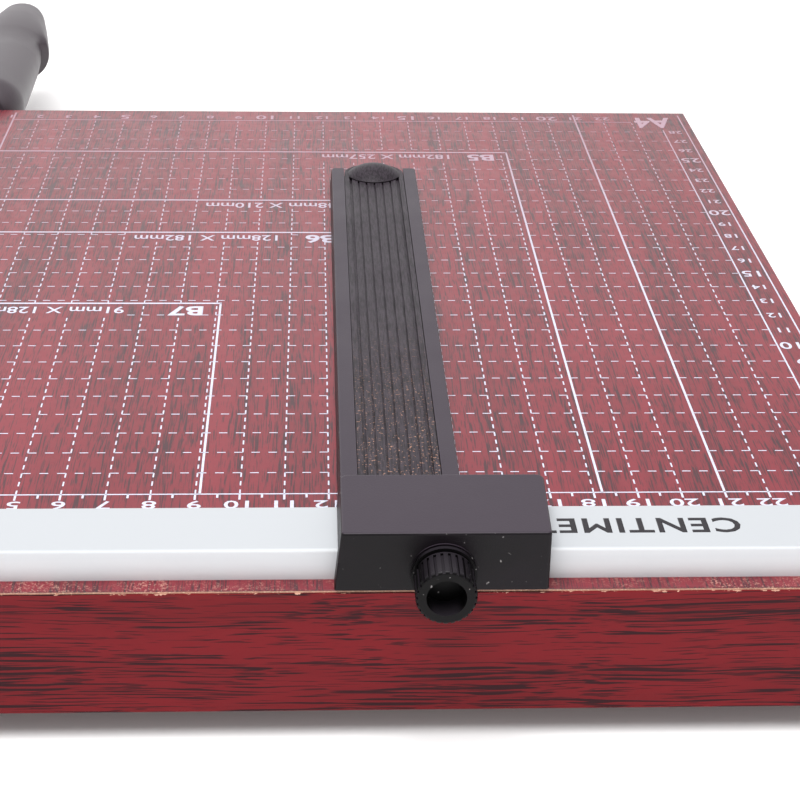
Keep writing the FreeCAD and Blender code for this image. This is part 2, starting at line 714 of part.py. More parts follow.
# ---------------------------------------------------------------- gauge
def head_wire(z, flare):
    """The head's outline at a height: one side leans out by flare, the other widens towards the user."""
    x1 = HEAD_X1 + flare
    points = [V(HEAD_X0 - HEAD_TAPER, HEAD_Y0, z), V(x1, HEAD_Y0, z),
              V(x1, HEAD_Y1, z), V(HEAD_X0, HEAD_Y1, z)]
    return Part.makePolygon(points + [points[0]])


def clamp_bore(radius):
    return rod(KNOB_X, FENCE_Y1, KNOB_Z, radius, HEAD_BACK_WALL + BOSS_PROUD + 2, Y_AXIS)


def make_gauge_head():
    head = Part.makeLoft([head_wire(HEAD_LOW, HEAD_FLARE), head_wire(HEAD_TOP, 0)], True, True)
    for y, radius in ((HEAD_Y0, HEAD_CORNER), (HEAD_Y1, HEAD_BACK_CORNER)):
        upright = [e for e in head.Edges if e.BoundBox.ZLength > 0.5 * HEAD_HEIGHT
                   and abs(e.BoundBox.YMin - y) < 0.01 and e.BoundBox.YLength < 0.01]
        head = head.makeFillet(radius, upright)
    rim = [e for e in head.Edges if e.BoundBox.ZMin > HEAD_TOP - 0.01]
    head = head.makeFillet(HEAD_ROUND, rim)
    boss = rod(KNOB_X, HEAD_Y1 - 2, KNOB_Z, BOSS_R, 2 + BOSS_PROUD, Y_AXIS)
    boss = boss.common(block((HEAD_X0, HEAD_X1), (HEAD_Y1 - 2, HEAD_Y1 + 5), (HEAD_LOW, HEAD_TOP)))
    head = head.fuse(boss).removeSplitter()
    saddle = block((HEAD_X0 - 5, HEAD_X1 + 5), (FENCE_Y0 - SLIDE_GAP, FENCE_Y1 + SLIDE_GAP),
                   (HEAD_LOW - 1, FENCE_TOP + SLIDE_GAP))
    head = head.cut(saddle).cut(clamp_bore(CLAMP_R + RUNNING_GAP + INSERT_WALL))
    return cut_all(head, gauge_screws(sunk_screw))


def gauge_screws(make):
    y = FENCE_Y0 - SLIDE_GAP - SUNK
    z = HEAD_LOW + GAUGE_FLOOR / 2 + 1.3
    xs = (GAUGE_X0 + GAUGE_RAIL / 2 + 0.1, GAUGE_X1 - GAUGE_RAIL / 2 - 0.1)
    return [make(V(x, y, z), -Y_AXIS, GAUGE_SCREW_R + 0.5, 0.8, GAUGE_SCREW_R - 0.3, 9.0) for x in xs]


def channel_half():
    """Half the width of the slot that the extension runs in, at the top of the gauge arm."""
    return GAUGE_WIDTH / 2 - GAUGE_RAIL


def make_gauge_arm():
    section = [V(GAUGE_X0 - GAUGE_DRAFT, HEAD_Y0, HEAD_LOW), V(GAUGE_X1 + GAUGE_DRAFT, HEAD_Y0, HEAD_LOW),
               V(GAUGE_X1, HEAD_Y0, GAUGE_TOP), V(GAUGE_X0, HEAD_Y0, GAUGE_TOP)]
    arm = prism(section, V(0, -GAUGE_REACH - HEAD_Y0, 0))
    ends = [e for e in arm.Edges
            if e.BoundBox.YMax < -GAUGE_REACH + 0.01 and e.BoundBox.XLength < 2 * GAUGE_DRAFT]
    arm = arm.makeFillet(GAUGE_END_ROUND, ends)
    tops = [e for e in arm.Edges if e.BoundBox.ZMin > GAUGE_TOP - 0.01 and e.BoundBox.YMin < HEAD_Y0 - 0.01]
    arm = arm.makeFillet(0.5, tops)
    half = channel_half()
    floor = HEAD_LOW + GAUGE_FLOOR
    start = HEAD_Y0 - SLIDER_START + SLIDE_GAP
    run = (-GAUGE_REACH - 1, start)
    slot = block((GAUGE_MID - half, GAUGE_MID + half), run, (floor, GAUGE_TOP + 1))
    under = block((GAUGE_MID - half - GAUGE_UNDERCUT, GAUGE_MID + half + GAUGE_UNDERCUT), run,
                  (floor, GAUGE_TOP - GAUGE_LIP))
    arm = arm.cut(slot).cut(under)
    return cut_all(arm, gauge_screws(sunk_screw))


def make_gauge_slider():
    """The extension: a flat bar with a ribbed, sunk panel that ends at a round thumb grip."""
    half = channel_half() - SLIDER_GAP
    foot = half + GAUGE_UNDERCUT
    low = HEAD_LOW + GAUGE_FLOOR + SLIDE_GAP
    lip = GAUGE_TOP - GAUGE_LIP - SLIDE_GAP
    back = HEAD_Y0 - SLIDER_START
    tip = -GAUGE_REACH - SLIDER_PAST_ARM
    top = GAUGE_TOP - SLIDER_DROP
    body = block((GAUGE_MID - half, GAUGE_MID + half), (tip, back), (low, top))
    flange = block((GAUGE_MID - foot, GAUGE_MID + foot), (-GAUGE_REACH + 2, back), (low, lip))
    body = body.fuse(flange).removeSplitter()
    corner = [e for e in body.Edges
              if e.BoundBox.YMax < tip + 0.01 and abs(e.tangentAt(e.FirstParameter).z) > 0.99]
    body = body.makeFillet(half - SLIDER_TIP_FLAT / 2, corner)
    thumb = half - THUMB_SIDE
    thumb_y = tip + THUMB_END + thumb
    panel = half - SLIDER_RAIL

    def groove(x, width, depth):
        return block((x - width / 2, x + width / 2), (thumb_y, back + 1), (top - depth, top + 1))

    sunk = [groove(GAUGE_MID, 2 * panel, PANEL_DROP)]
    for side in (-1, 1):
        sunk.append(groove(GAUGE_MID + side * (panel - EDGE_GROOVE / 2), EDGE_GROOVE, EDGE_GROOVE_DEPTH))
    for i in range(RIB_GROOVES):
        x = GAUGE_MID + (i - (RIB_GROOVES - 1) / 2) * RIB_PITCH
        sunk.append(groove(x, RIB_GROOVE, PANEL_DROP + RIB_GROOVE_DEPTH))
    body = cut_all(body, sunk)
    thumb_radius = (thumb ** 2 + THUMB_RISE ** 2) / (2 * THUMB_RISE)
    ball = Part.makeSphere(thumb_radius, V(GAUGE_MID, thumb_y, top + THUMB_RISE - thumb_radius))
    plug_low = top - EDGE_GROOVE_DEPTH - 0.3
    plug = rod(GAUGE_MID, thumb_y, plug_low, thumb, top + THUMB_RISE - plug_low, Z_AXIS)
    return body.fuse(ball.common(plug)).removeSplitter()


# ---------------------------------------------------------------- clamp of the gauge
def make_clamp_insert():
    outer = CLAMP_R + RUNNING_GAP + INSERT_WALL
    start = FENCE_Y1 + SLIDE_GAP + PAD_THICK + 0.2
    end = HEAD_Y1 + BOSS_PROUD
    return tube(KNOB_X, start, KNOB_Z, outer, CLAMP_R + RUNNING_GAP, end - start, Y_AXIS)


def make_clamp_pad():
    pad = rod(KNOB_X, FENCE_Y1 + SLIDE_GAP, KNOB_Z, CLAMP_R - 0.2, PAD_THICK, Y_AXIS)
    return pad


def make_clamp_stud():
    start = FENCE_Y1 + SLIDE_GAP + PAD_THICK + SLIDE_GAP
    end = HEAD_Y1 + BOSS_PROUD + KNOB_GAP + KNOB_LENGTH - KNOB_RECESS - KNOB_FLOOR
    return rod(KNOB_X, start, KNOB_Z, CLAMP_R, end - start, Y_AXIS)


def make_clamp_knob():
    start = HEAD_Y1 + BOSS_PROUD + KNOB_GAP
    body = rod(KNOB_X, start, KNOB_Z, KNOB_R, KNOB_LENGTH, Y_AXIS)
    rim = [e for e in body.Edges if e.BoundBox.YMin > start + KNOB_LENGTH - 0.01]
    body = body.makeFillet(KNOB_ROUND, rim)
    neck = tube(KNOB_X, start + KNOB_FLANGE, KNOB_Z, KNOB_R + 1, KNOB_R - FLUTE_DEEP, KNOB_NECK, Y_AXIS)
    flute_start = start + KNOB_FLANGE + 2 * KNOB_NECK
    flutes = []
    for i in range(KNOB_FLUTES):
        flute = block((KNOB_R - FLUTE_DEEP, KNOB_R + 1), (flute_start, start + KNOB_LENGTH),
                      (-FLUTE_WIDE / 2, FLUTE_WIDE / 2))
        flute.rotate(V(0, 0, 0), Y_AXIS, 360 * i / KNOB_FLUTES)
        flute.translate(V(KNOB_X, 0, KNOB_Z))
        flutes.append(flute)
    body = body.cut(neck).cut(group(flutes))
    flange = rod(KNOB_X, start, KNOB_Z, KNOB_FLANGE_R, KNOB_FLANGE, Y_AXIS)
    body = body.fuse(flange).removeSplitter()
    recess = rod(KNOB_X, start + KNOB_LENGTH - KNOB_RECESS, KNOB_Z, KNOB_RECESS_R, KNOB_RECESS, Y_AXIS)
    return body.cut(recess).cut(make_clamp_stud())


# ---------------------------------------------------------------- safety latch
def make_safety_latch():
    """A flat hook that hangs in front of the board and swings up over the arm."""
    y0 = Y_FRONT - LATCH_FACE_GAP - LATCH_THICK
    half = LATCH_WIDTH / 2
    leg = block((LATCH_X - half, LATCH_X + half), (y0, y0 + LATCH_THICK), (LATCH_Z - LATCH_LEG, LATCH_Z))
    eye = rod(LATCH_X, y0, LATCH_Z, half, LATCH_THICK, Y_AXIS)
    elbow = rod(LATCH_X, y0, LATCH_Z - LATCH_LEG, half, LATCH_THICK, Y_AXIS)
    hook = block((LATCH_X - LATCH_REACH, LATCH_X), (y0, y0 + LATCH_THICK),
                 (LATCH_Z - LATCH_LEG - half, LATCH_Z - LATCH_LEG + half))
    tip = rod(LATCH_X - LATCH_REACH, y0, LATCH_Z - LATCH_LEG, half, LATCH_THICK, Y_AXIS)
    latch = leg.fuse([eye, elbow, hook, tip]).removeSplitter()
    return latch.cut(rod(LATCH_X, y0 - 1, LATCH_Z, LATCH_SCREW_R + RUNNING_GAP, 4, Y_AXIS))


# ---------------------------------------------------------------- all pieces
def build():
    stack = pivot_stack()
    nodes = {
        "base_core": make_base_core(),
        "top_film": make_top_film(),
        "bottom_film": make_bottom_film(),
        "rubber_feet": make_feet(),
        "foot_screws": group(foot_screws(driven_screw)),
        "bed_knife": make_bed_knife(),
        "bed_knife_screws": group(knife_screws(driven_screw)),
        "stop_bracket": make_stop_bracket(),
        "stop_bracket_screws": group(stop_screws(sunk_screw)),
        "stop_bumper": make_stop_bumper(),
        "pivot_block": make_pivot_block(),
        "pivot_bolt": make_pivot_bolt(),
        "thrust_washer": washer(0, THRUST_WASHER, HUB_R - 4.0),
        "disc_springs": make_disc_springs(),
        "spring_washer": washer(stack["washer"], WASHER_THICK, WASHER_R),
        "pivot_nut": make_pivot_nut(),
        "blade_arm": make_arm(),
        "blade": make_blade(),
        "blade_screws": group(blade_screws(driven_screw)),
        "blade_nuts": make_blade_nuts(),
        "pivot_bush": tube(THRUST_WASHER + SLIDE_GAP, PIVOT_Y, PIVOT_Z, PIVOT_R + RUNNING_GAP + BUSH_WALL,
                           PIVOT_R + RUNNING_GAP, HUB_END - THRUST_WASHER - SLIDE_GAP, X_AXIS),
        "spring_seat": washer(stack["seat"], WASHER_THICK, WASHER_R),
        "handle_grip": make_handle_grip(),
        "grip_bolt": make_grip_bolt(),
        "grip_nut": make_grip_nut(),
        "fence": make_fence(),
        "fence_screws": group(fence_screws(driven_screw)),
        "gauge_head": make_gauge_head(),
        "gauge_arm": make_gauge_arm(),
        "gauge_arm_screws": group(gauge_screws(sunk_screw)),
        "gauge_slider": make_gauge_slider(),
        "clamp_insert": make_clamp_insert(),
        "clamp_pad": make_clamp_pad(),
        "clamp_stud": make_clamp_stud(),
        "clamp_knob": make_clamp_knob(),
        "safety_latch": make_safety_latch(),
        "latch_screw": latch_screw(latch_screw_shape),
    }
    nodes.update(make_edge_bands())
    return nodes


def footprint_middle(nodes):
    box = Part.makeCompound(list(nodes.values())).optimalBoundingBox(False)
    return V(-(box.XMin + box.XMax) / 2, -(box.YMin + box.YMax) / 2, 0)


NODES = build()
SHIFT = footprint_middle(NODES)
os.makedirs("parts", exist_ok=True)
for name, shape in NODES.items():
    shape.translate(SHIFT)
    shape.exportStep("parts/" + name + ".step")
    print(name, len(shape.Solids), shape.isValid(), round(shape.Volume, 1))
print("shift", SHIFT)
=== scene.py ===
# %% [markdown]
# # A guillotine paper cutter
#
# The cutter is a thick laminated board with a printed grid, a white plastic fence, a black gauge
# that slides on the fence, and a blade arm beside the board. The frame holds every hard piece at
# its real size. This lesson gives each piece its finish, prints the board, moulds the handle grip
# and lights the whole as a product on white paper.

# %% Load the frame
import math

import bmesh
import bpy
from mathutils import Matrix, Vector


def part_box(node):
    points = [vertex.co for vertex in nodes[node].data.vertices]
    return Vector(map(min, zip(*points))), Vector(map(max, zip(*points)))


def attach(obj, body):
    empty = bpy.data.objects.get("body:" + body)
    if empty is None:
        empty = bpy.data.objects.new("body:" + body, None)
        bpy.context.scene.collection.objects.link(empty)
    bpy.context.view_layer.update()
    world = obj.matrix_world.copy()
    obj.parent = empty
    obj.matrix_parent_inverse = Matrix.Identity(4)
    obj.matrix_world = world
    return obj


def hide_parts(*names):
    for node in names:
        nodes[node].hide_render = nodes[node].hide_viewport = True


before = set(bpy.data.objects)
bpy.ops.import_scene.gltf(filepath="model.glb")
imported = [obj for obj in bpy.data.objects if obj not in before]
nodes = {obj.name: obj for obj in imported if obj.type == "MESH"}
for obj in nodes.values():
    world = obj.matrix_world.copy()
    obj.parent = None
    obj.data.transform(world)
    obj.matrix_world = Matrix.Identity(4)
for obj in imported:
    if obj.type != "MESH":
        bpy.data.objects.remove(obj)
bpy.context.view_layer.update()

# %% [markdown]
# ## Places on the board
#
# The print is measured in centimetres from two lines: the cutting edge, and a zero line just in
# front of the fence. The fixed steel edge and the fence stand exactly there, so the print takes
# its places from their boxes. A point of the print is given as centimetres in from the cutting
# edge and centimetres towards the user.

# %% Reference places
MM = 0.001
CM = 0.01
FENCE_TO_ZERO = 1.5 * MM

fence_low, fence_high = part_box("fence")
cut_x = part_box("bed_knife")[1].x
zero_y = fence_low.y + FENCE_TO_ZERO
table_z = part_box("top_film")[1].z


def on_board(across, along, height=0.0):
    """A place on the printed board: centimetres from the cutting edge and from the zero line."""
    return Vector((cut_x - across * CM, zero_y - along * CM, table_z + height))


print("printed zero at", tuple(round(v, 4) for v in on_board(0, 0)))

# %% [markdown]
# ## Camera
#
# The view is taken from the fence end, low over the board, with a long lens. The camera is placed
# from the printed zero, so it keeps its view of the board if the frame's origin moves.

# %% Camera
CAMERA_ACROSS = 11.691
CAMERA_BACK = 34.998
CAMERA_UP = 20.639
CAMERA_TURN = math.radians(2.897)
CAMERA_DOWN = math.radians(26.275)
CAMERA_ROLL = math.radians(-1.157)
LENS = 84.436

eye = on_board(CAMERA_ACROSS, -CAMERA_BACK, CAMERA_UP * CM)
forward = Vector((-math.sin(CAMERA_TURN) * math.cos(CAMERA_DOWN),
                  -math.cos(CAMERA_TURN) * math.cos(CAMERA_DOWN),
                  -math.sin(CAMERA_DOWN)))
level_right = Vector((-math.cos(CAMERA_TURN), math.sin(CAMERA_TURN), 0.0))
level_down = forward.cross(level_right)
right = math.cos(CAMERA_ROLL) * level_right + math.sin(CAMERA_ROLL) * level_down
up = right.cross(forward)

camera_data = bpy.data.cameras.new("studio_camera")
camera_data.lens = LENS
camera_data.sensor_width = 36.0
camera_data.clip_start = 0.01
camera_data.clip_end = 50.0
camera = bpy.data.objects.new("studio_camera", camera_data)
camera.matrix_world = Matrix.Translation(eye) @ Matrix((right, up, -forward)).transposed().to_4x4()
bpy.context.scene.collection.objects.link(camera)
bpy.context.scene.camera = camera
print("camera at", tuple(round(v, 3) for v in eye))

# %% [markdown]
# ## Studio
#
# White paper under the object, a wide soft lamp almost straight above it, and a world that stands
# for the room: white paper close to the horizon behind the object, a dim room above that, light
# again overhead, and dimmer behind the camera and to the right. Low reflections make the far part
# of the board pale, and the dim part keeps its colour deep close by and the plastic fronts dark.

# %% Floor, world and lamp
FLOOR_SIZE = 12.0
LAMP_PLACE = (0.15, 0.52, 1.5)
LAMP_SIZE = 1.2
LAMP_POWER = 26.0
HORIZON_BEHIND = 1.65
ROOM_BEHIND = 0.72
ROOM_IN_FRONT = 0.50
OVERHEAD = 0.85
RIGHT_SHARE = 0.72
PAPER_GLOW = 0.07

# Between which values of a direction's own coordinates one part of the room passes into the next
BEHIND_TO_FRONT = (-0.55, 0.25)
RIGHT_TO_LEFT = (-0.30, 0.02)
HORIZON_TO_ROOM = (0.33, 0.45)
ROOM_TO_OVERHEAD = (0.60, 0.88)


def srgb(red, green, blue):
    """A colour given as 0 to 255 display values, as the linear values that shaders use."""
    def linear(value):
        value /= 255.0
        return value / 12.92 if value <= 0.04045 else ((value + 0.055) / 1.055) ** 2.4
    return (linear(red), linear(green), linear(blue), 1.0)


def mesh_object(name, mesh):
    piece = bpy.data.objects.new(name, mesh)
    bpy.context.scene.collection.objects.link(piece)
    return piece


def plain_mesh(piece):
    """Turns a piece with live modifiers into a plain mesh."""
    graph = bpy.context.evaluated_depsgraph_get()
    mesh = bpy.data.meshes.new_from_object(piece.evaluated_get(graph), depsgraph=graph)
    piece.modifiers.clear()
    piece.data = mesh
    return piece


def make_floor():
    half = FLOOR_SIZE / 2
    mesh = bpy.data.meshes.new("studio_floor")
    corners = [(-half, -half, 0), (half, -half, 0), (half, half, 0), (-half, half, 0)]
    mesh.from_pydata(corners, [], [(0, 1, 2, 3)])
    floor = mesh_object("studio_floor", mesh)
    paper = bpy.data.materials.new("studio_paper")
    paper.use_nodes = True
    shader = paper.node_tree.nodes["Principled BSDF"]
    shader.inputs["Base Color"].default_value = (0.97, 0.965, 0.965, 1.0)
    shader.inputs["Emission Color"].default_value = (1.0, 0.85, 0.85, 1.0)
    shader.inputs["Emission Strength"].default_value = PAPER_GLOW
    shader.inputs["Roughness"].default_value = 0.9
    mesh.materials.append(paper)
    return floor


def make_world():
    world = bpy.data.worlds.new("studio_world")
    world.use_nodes = True
    tree = world.node_tree
    link = tree.links.new

    def step(value, span, to_low, to_high):
        """A smooth step over a span of values, from one level or socket to another."""
        node = tree.nodes.new("ShaderNodeMapRange")
        node.interpolation_type = "SMOOTHSTEP"
        link(value, node.inputs["Value"])
        levels = (*span, to_low, to_high)
        for name, given in zip(("From Min", "From Max", "To Min", "To Max"), levels):
            if isinstance(given, bpy.types.NodeSocket):
                link(given, node.inputs[name])
            else:
                node.inputs[name].default_value = given
        return node.outputs["Result"]

    split = tree.nodes.new("ShaderNodeSeparateXYZ")
    link(tree.nodes.new("ShaderNodeTexCoord").outputs["Generated"], split.inputs[0])
    height, ahead = split.outputs["Z"], split.outputs["Y"]
    horizon = step(ahead, BEHIND_TO_FRONT, HORIZON_BEHIND, ROOM_IN_FRONT)
    room = step(ahead, BEHIND_TO_FRONT, ROOM_BEHIND, ROOM_IN_FRONT)
    side = step(split.outputs["X"], RIGHT_TO_LEFT, RIGHT_SHARE, 1.0)
    dimmed = tree.nodes.new("ShaderNodeMath")
    dimmed.operation = "MULTIPLY"
    link(step(height, HORIZON_TO_ROOM, horizon, room), dimmed.inputs[0])
    link(side, dimmed.inputs[1])
    whole = step(height, ROOM_TO_OVERHEAD, dimmed.outputs[0], OVERHEAD)
    background = tree.nodes["Background"]
    background.inputs["Color"].default_value = (1.0, 1.0, 1.0, 1.0)
    link(whole, background.inputs["Strength"])
    bpy.context.scene.world = world


def make_lamp(name, place, target, size, power):
    light = bpy.data.lights.new(name, "AREA")
    light.shape = "DISK"
    light.size = size
    light.energy = power
    lamp = bpy.data.objects.new(name, light)
    aim = (Vector(target) - Vector(place)).to_track_quat("-Z", "Y")
    lamp.matrix_world = Matrix.Translation(place) @ aim.to_matrix().to_4x4()
    bpy.context.scene.collection.objects.link(lamp)
    return lamp


make_floor()
make_world()
make_lamp("overhead_softbox", LAMP_PLACE, (0.0, 0.0, 0.0), LAMP_SIZE, LAMP_POWER)
bpy.context.scene.view_settings.view_transform = "Standard"
print("studio ready")

# %% [markdown]
# ## A small kit for finishes
#
# Every finish below is a node tree that reads Object coordinates, and the painted top tone of the
# plastics also reads which way the surface faces. The frame's pieces sit at the origin, so one metre
# in the pattern is one metre on the object, and the grain doesn't slide when a piece moves. These
# helpers keep each recipe short: one adds a node and fills its sockets, and the others make the
# patterns that finishes share.

# %% Node helpers
class Finish:
    """A material under construction: its tree, its main shader and its Object coordinates."""

    def __init__(self, name, roughness=0.5, specular=0.5, metallic=0.0):
        self.material = bpy.data.materials.new(name)
        self.material.use_nodes = True
        self.tree = self.material.node_tree
        self.shader = self.tree.nodes["Principled BSDF"]
        self.shader.inputs["Roughness"].default_value = roughness
        self.shader.inputs["Specular IOR Level"].default_value = specular
        self.shader.inputs["Metallic"].default_value = metallic
        self.place = self.tree.nodes.new("ShaderNodeTexCoord").outputs["Object"]

    def add(self, kind, **values):
        """A node of that kind. Values name its inputs, or its settings where it has no such input."""
        node = self.tree.nodes.new("ShaderNode" + kind)
        for name, value in values.items():
            socket = node.inputs.get(name.replace("_", " "))
            if socket is None:
                setattr(node, name, value)
            elif isinstance(value, bpy.types.NodeSocket):
                self.tree.links.new(value, socket)
            else:
                socket.default_value = value
        return node

    def stretched(self, scale, source=None):
        """Coordinates multiplied by a frequency, in cycles per metre, along each axis."""
        mapping = self.add("Mapping", Scale=scale)
        self.tree.links.new(source or self.place, mapping.inputs["Vector"])
        return mapping.outputs["Vector"]

    def noise(self, scale, detail=2.0, roughness=0.5, source=None):
        """Noise with its own frequency on each axis, from 0 to 1."""
        vector = self.stretched(scale, source)
        node = self.add("TexNoise", Vector=vector, Scale=1.0, Detail=detail, Roughness=roughness)
        return node.outputs["Fac"]

    def remap(self, value, low, high, to_low=0.0, to_high=1.0):
        """A smooth step: values under low become to_low, and values over high become to_high."""
        node = self.tree.nodes.new("ShaderNodeMapRange")
        node.interpolation_type = "SMOOTHSTEP"
        self.tree.links.new(value, node.inputs["Value"])
        for name, number in zip(("From Min", "From Max", "To Min", "To Max"), (low, high, to_low, to_high)):
            node.inputs[name].default_value = number
        return node.outputs["Result"]

    def maths(self, operation, first, second=0.0, third=0.0):
        node = self.tree.nodes.new("ShaderNodeMath")
        node.operation = operation
        for socket, value in zip(node.inputs, (first, second, third)):
            if isinstance(value, bpy.types.NodeSocket):
                self.tree.links.new(value, socket)
            else:
                socket.default_value = value
        return node.outputs[0]

    def mix(self, factor, first, second):
        """A colour between two others."""
        node = self.tree.nodes.new("ShaderNodeMix")
        node.data_type = "RGBA"
        sockets = (node.inputs[0], node.inputs[6], node.inputs[7])
        for socket, value in zip(sockets, (factor, first, second)):
            if isinstance(value, bpy.types.NodeSocket):
                self.tree.links.new(value, socket)
            else:
                socket.default_value = value
        return node.outputs[2]

    def axis(self, letter, source=None):
        """One coordinate of the place, in metres."""
        split = self.add("SeparateXYZ")
        self.tree.links.new(source or self.place, split.inputs[0])
        return split.outputs[letter]

    def colour(self, value):
        self.tree.links.new(value, self.shader.inputs["Base Color"])

    def roughness(self, value):
        self.tree.links.new(value, self.shader.inputs["Roughness"])

    def bump(self, height, depth, strength=1.0):
        """Relief of that depth in metres, on the shader's normal."""
        node = self.add("Bump", Strength=strength, Distance=depth)
        self.tree.links.new(height, node.inputs["Height"])
        self.tree.links.new(node.outputs["Normal"], self.shader.inputs["Normal"])


print("finish kit ready")

# %% [markdown]
# ## Wood-print film
#
# The board is fibreboard wrapped in a plastic film printed like mahogany. The print has three
# layers: broad darker bands, long dark pores gathered in those bands, and fine hairlines between
# them. All three are noise, stretched along the grain. A slow sideways wobble bends them, so that
# they run as they do in real timber. On the top the grain runs from the fence to the user, and on
# the wrapped edges it runs along each edge. The film is smooth with a faint orange peel. Along
# its cut edges it is nicked, and the paper dust of many cuts lies in the corner by the fence.

# %% Mahogany print
BARE_WOOD = srgb(226, 184, 162)
DARK_WOOD = srgb(172, 122, 102)


def mahogany(name, grain, red, dark, strength, gather, pore, hairline, wobble, specular,
             top_edge=None, dusty_from=None):
    """Red film with dark pores. grain is the axis that they follow, gather is how much they crowd
    into bands, pore and hairline are their (width, length, level), nicks start at top_edge and
    dust lies behind dusty_from."""
    finish = Finish(name, roughness=0.32, specular=specular)
    along = "XYZ".index(grain)

    def grained(width, length):
        return tuple(1.0 / (length if axis == along else width) for axis in range(3))

    drift = finish.add("TexNoise", Vector=finish.stretched(grained(0.030, 0.090)), Scale=1.0, Detail=2.0)
    sway = finish.add("VectorMath", operation="MULTIPLY_ADD")
    finish.tree.links.new(drift.outputs["Color"], sway.inputs[0])
    sway.inputs[1].default_value = (wobble, wobble, wobble)
    finish.tree.links.new(finish.place, sway.inputs[2])
    bent = sway.outputs["Vector"]

    bands = finish.remap(finish.noise(grained(0.011, 0.15), 2.0, 0.6, bent), 0.36, 0.66)
    marks = []
    for (width, length, level), lift in ((pore, gather), (hairline, gather / 2)):
        lines = finish.noise(grained(width, length), 1.5, 0.55, bent)
        lifted = finish.maths("MULTIPLY_ADD", bands, lift, -level)
        marks.append(finish.remap(finish.maths("ADD", lines, lifted), 0.0, 0.06))
    both = finish.maths("MAXIMUM", marks[0], finish.maths("MULTIPLY", marks[1], 0.75))
    shade = [0.80 * channel for channel in red[:3]] + [1.0]
    printed = finish.mix(finish.maths("MULTIPLY", both, strength), finish.mix(bands, red, shade), dark)
    if top_edge is not None:
        tan = finish.mix(finish.noise((900.0,) * 3, 2.0), BARE_WOOD, DARK_WOOD)
        ragged = finish.noise((420.0, 420.0, 420.0), 3.0, 0.75)
        reach = finish.maths("MULTIPLY", finish.remap(ragged, 0.55, 0.85), 0.7 * MM)
        depth = finish.maths("SUBTRACT", top_edge, finish.axis("Z"))
        nicked = finish.remap(finish.maths("SUBTRACT", reach, depth), 0.0, 0.08 * MM)
        printed = finish.mix(nicked, printed, tan)
    if dusty_from is not None:
        specks = finish.remap(finish.noise((2200.0,) * 3, 2.0, 0.6), 0.55, 0.62)
        thick = finish.noise((70.0,) * 3, 3.0, 0.65)
        near = finish.remap(finish.axis("Y"), dusty_from, dusty_from + 3.0 * MM)
        lying = finish.maths("MULTIPLY", near, finish.remap(thick, 0.35, 0.6))
        dusted = finish.maths("MULTIPLY", specks, lying)
        printed = finish.mix(finish.maths("MULTIPLY", dusted, 0.55), printed, srgb(206, 158, 140))
    finish.colour(printed)
    peel = finish.noise((420.0, 420.0, 420.0), 2.0, 0.5)
    finish.roughness(finish.remap(peel, 0.2, 0.8, 0.28, 0.37))
    finish.bump(peel, 0.018 * MM, 0.5)
    return finish.material


band_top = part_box("back_edge_band")[1].z
fence_back = fence_high.y - 2.0 * MM
top_print = mahogany("mahogany_top", "Y", srgb(128, 31, 45), srgb(34, 20, 30), 0.80, 0.07,
                     (0.00042, 0.0130, 0.600), (0.00030, 0.0065, 0.590), 0.004, 0.6, dusty_from=fence_back)
long_edge = mahogany("mahogany_edge_across", "X", srgb(119, 20, 28), srgb(32, 10, 18), 0.90, 0.10,
                     (0.00060, 0.030, 0.600), (0.00035, 0.012, 0.590), 0.005, 0.16, band_top)
side_edge = mahogany("mahogany_edge_along", "Y", srgb(119, 20, 28), srgb(32, 10, 18), 0.90, 0.10,
                     (0.00060, 0.030, 0.600), (0.00035, 0.012, 0.590), 0.005, 0.16, band_top)
print("wood print ready")

# %% [markdown]
# ## Fibreboard and backing
#
# Where the film ends the board shows as tan fibreboard. It is made of pressed fibres, so the
# finish is a mottled tan with fine short fibres and a dry, rough surface. The underside wears a
# plain dark backing film.

# %% Fibreboard and backing film
def fibreboard():
    finish = Finish("fibreboard", roughness=0.85, specular=0.2)
    clumps = finish.noise((260.0, 260.0, 260.0), 3.0, 0.6)
    fibres = finish.noise((2400.0, 700.0, 2400.0), 2.0, 0.6)
    ground = finish.mix(clumps, BARE_WOOD, DARK_WOOD)
    finish.colour(finish.mix(finish.remap(fibres, 0.5, 0.7), ground, srgb(238, 208, 178)))
    finish.bump(fibres, 0.12 * MM, 0.7)
    return finish.material


def backing():
    finish = Finish("backing_film", roughness=0.62, specular=0.35)
    clouds = finish.noise((40.0, 14.0, 40.0), 3.0, 0.55)
    grain = finish.noise((900.0, 160.0, 900.0), 2.0, 0.6)
    ground = finish.mix(clouds, srgb(74, 34, 36), srgb(54, 24, 27))
    finish.colour(finish.mix(finish.remap(grain, 0.55, 0.7), ground, srgb(34, 16, 18)))
    finish.bump(grain, 0.03 * MM, 0.5)
    return finish.material


bare_board = fibreboard()
backing_film = backing()
print("fibreboard and backing ready")
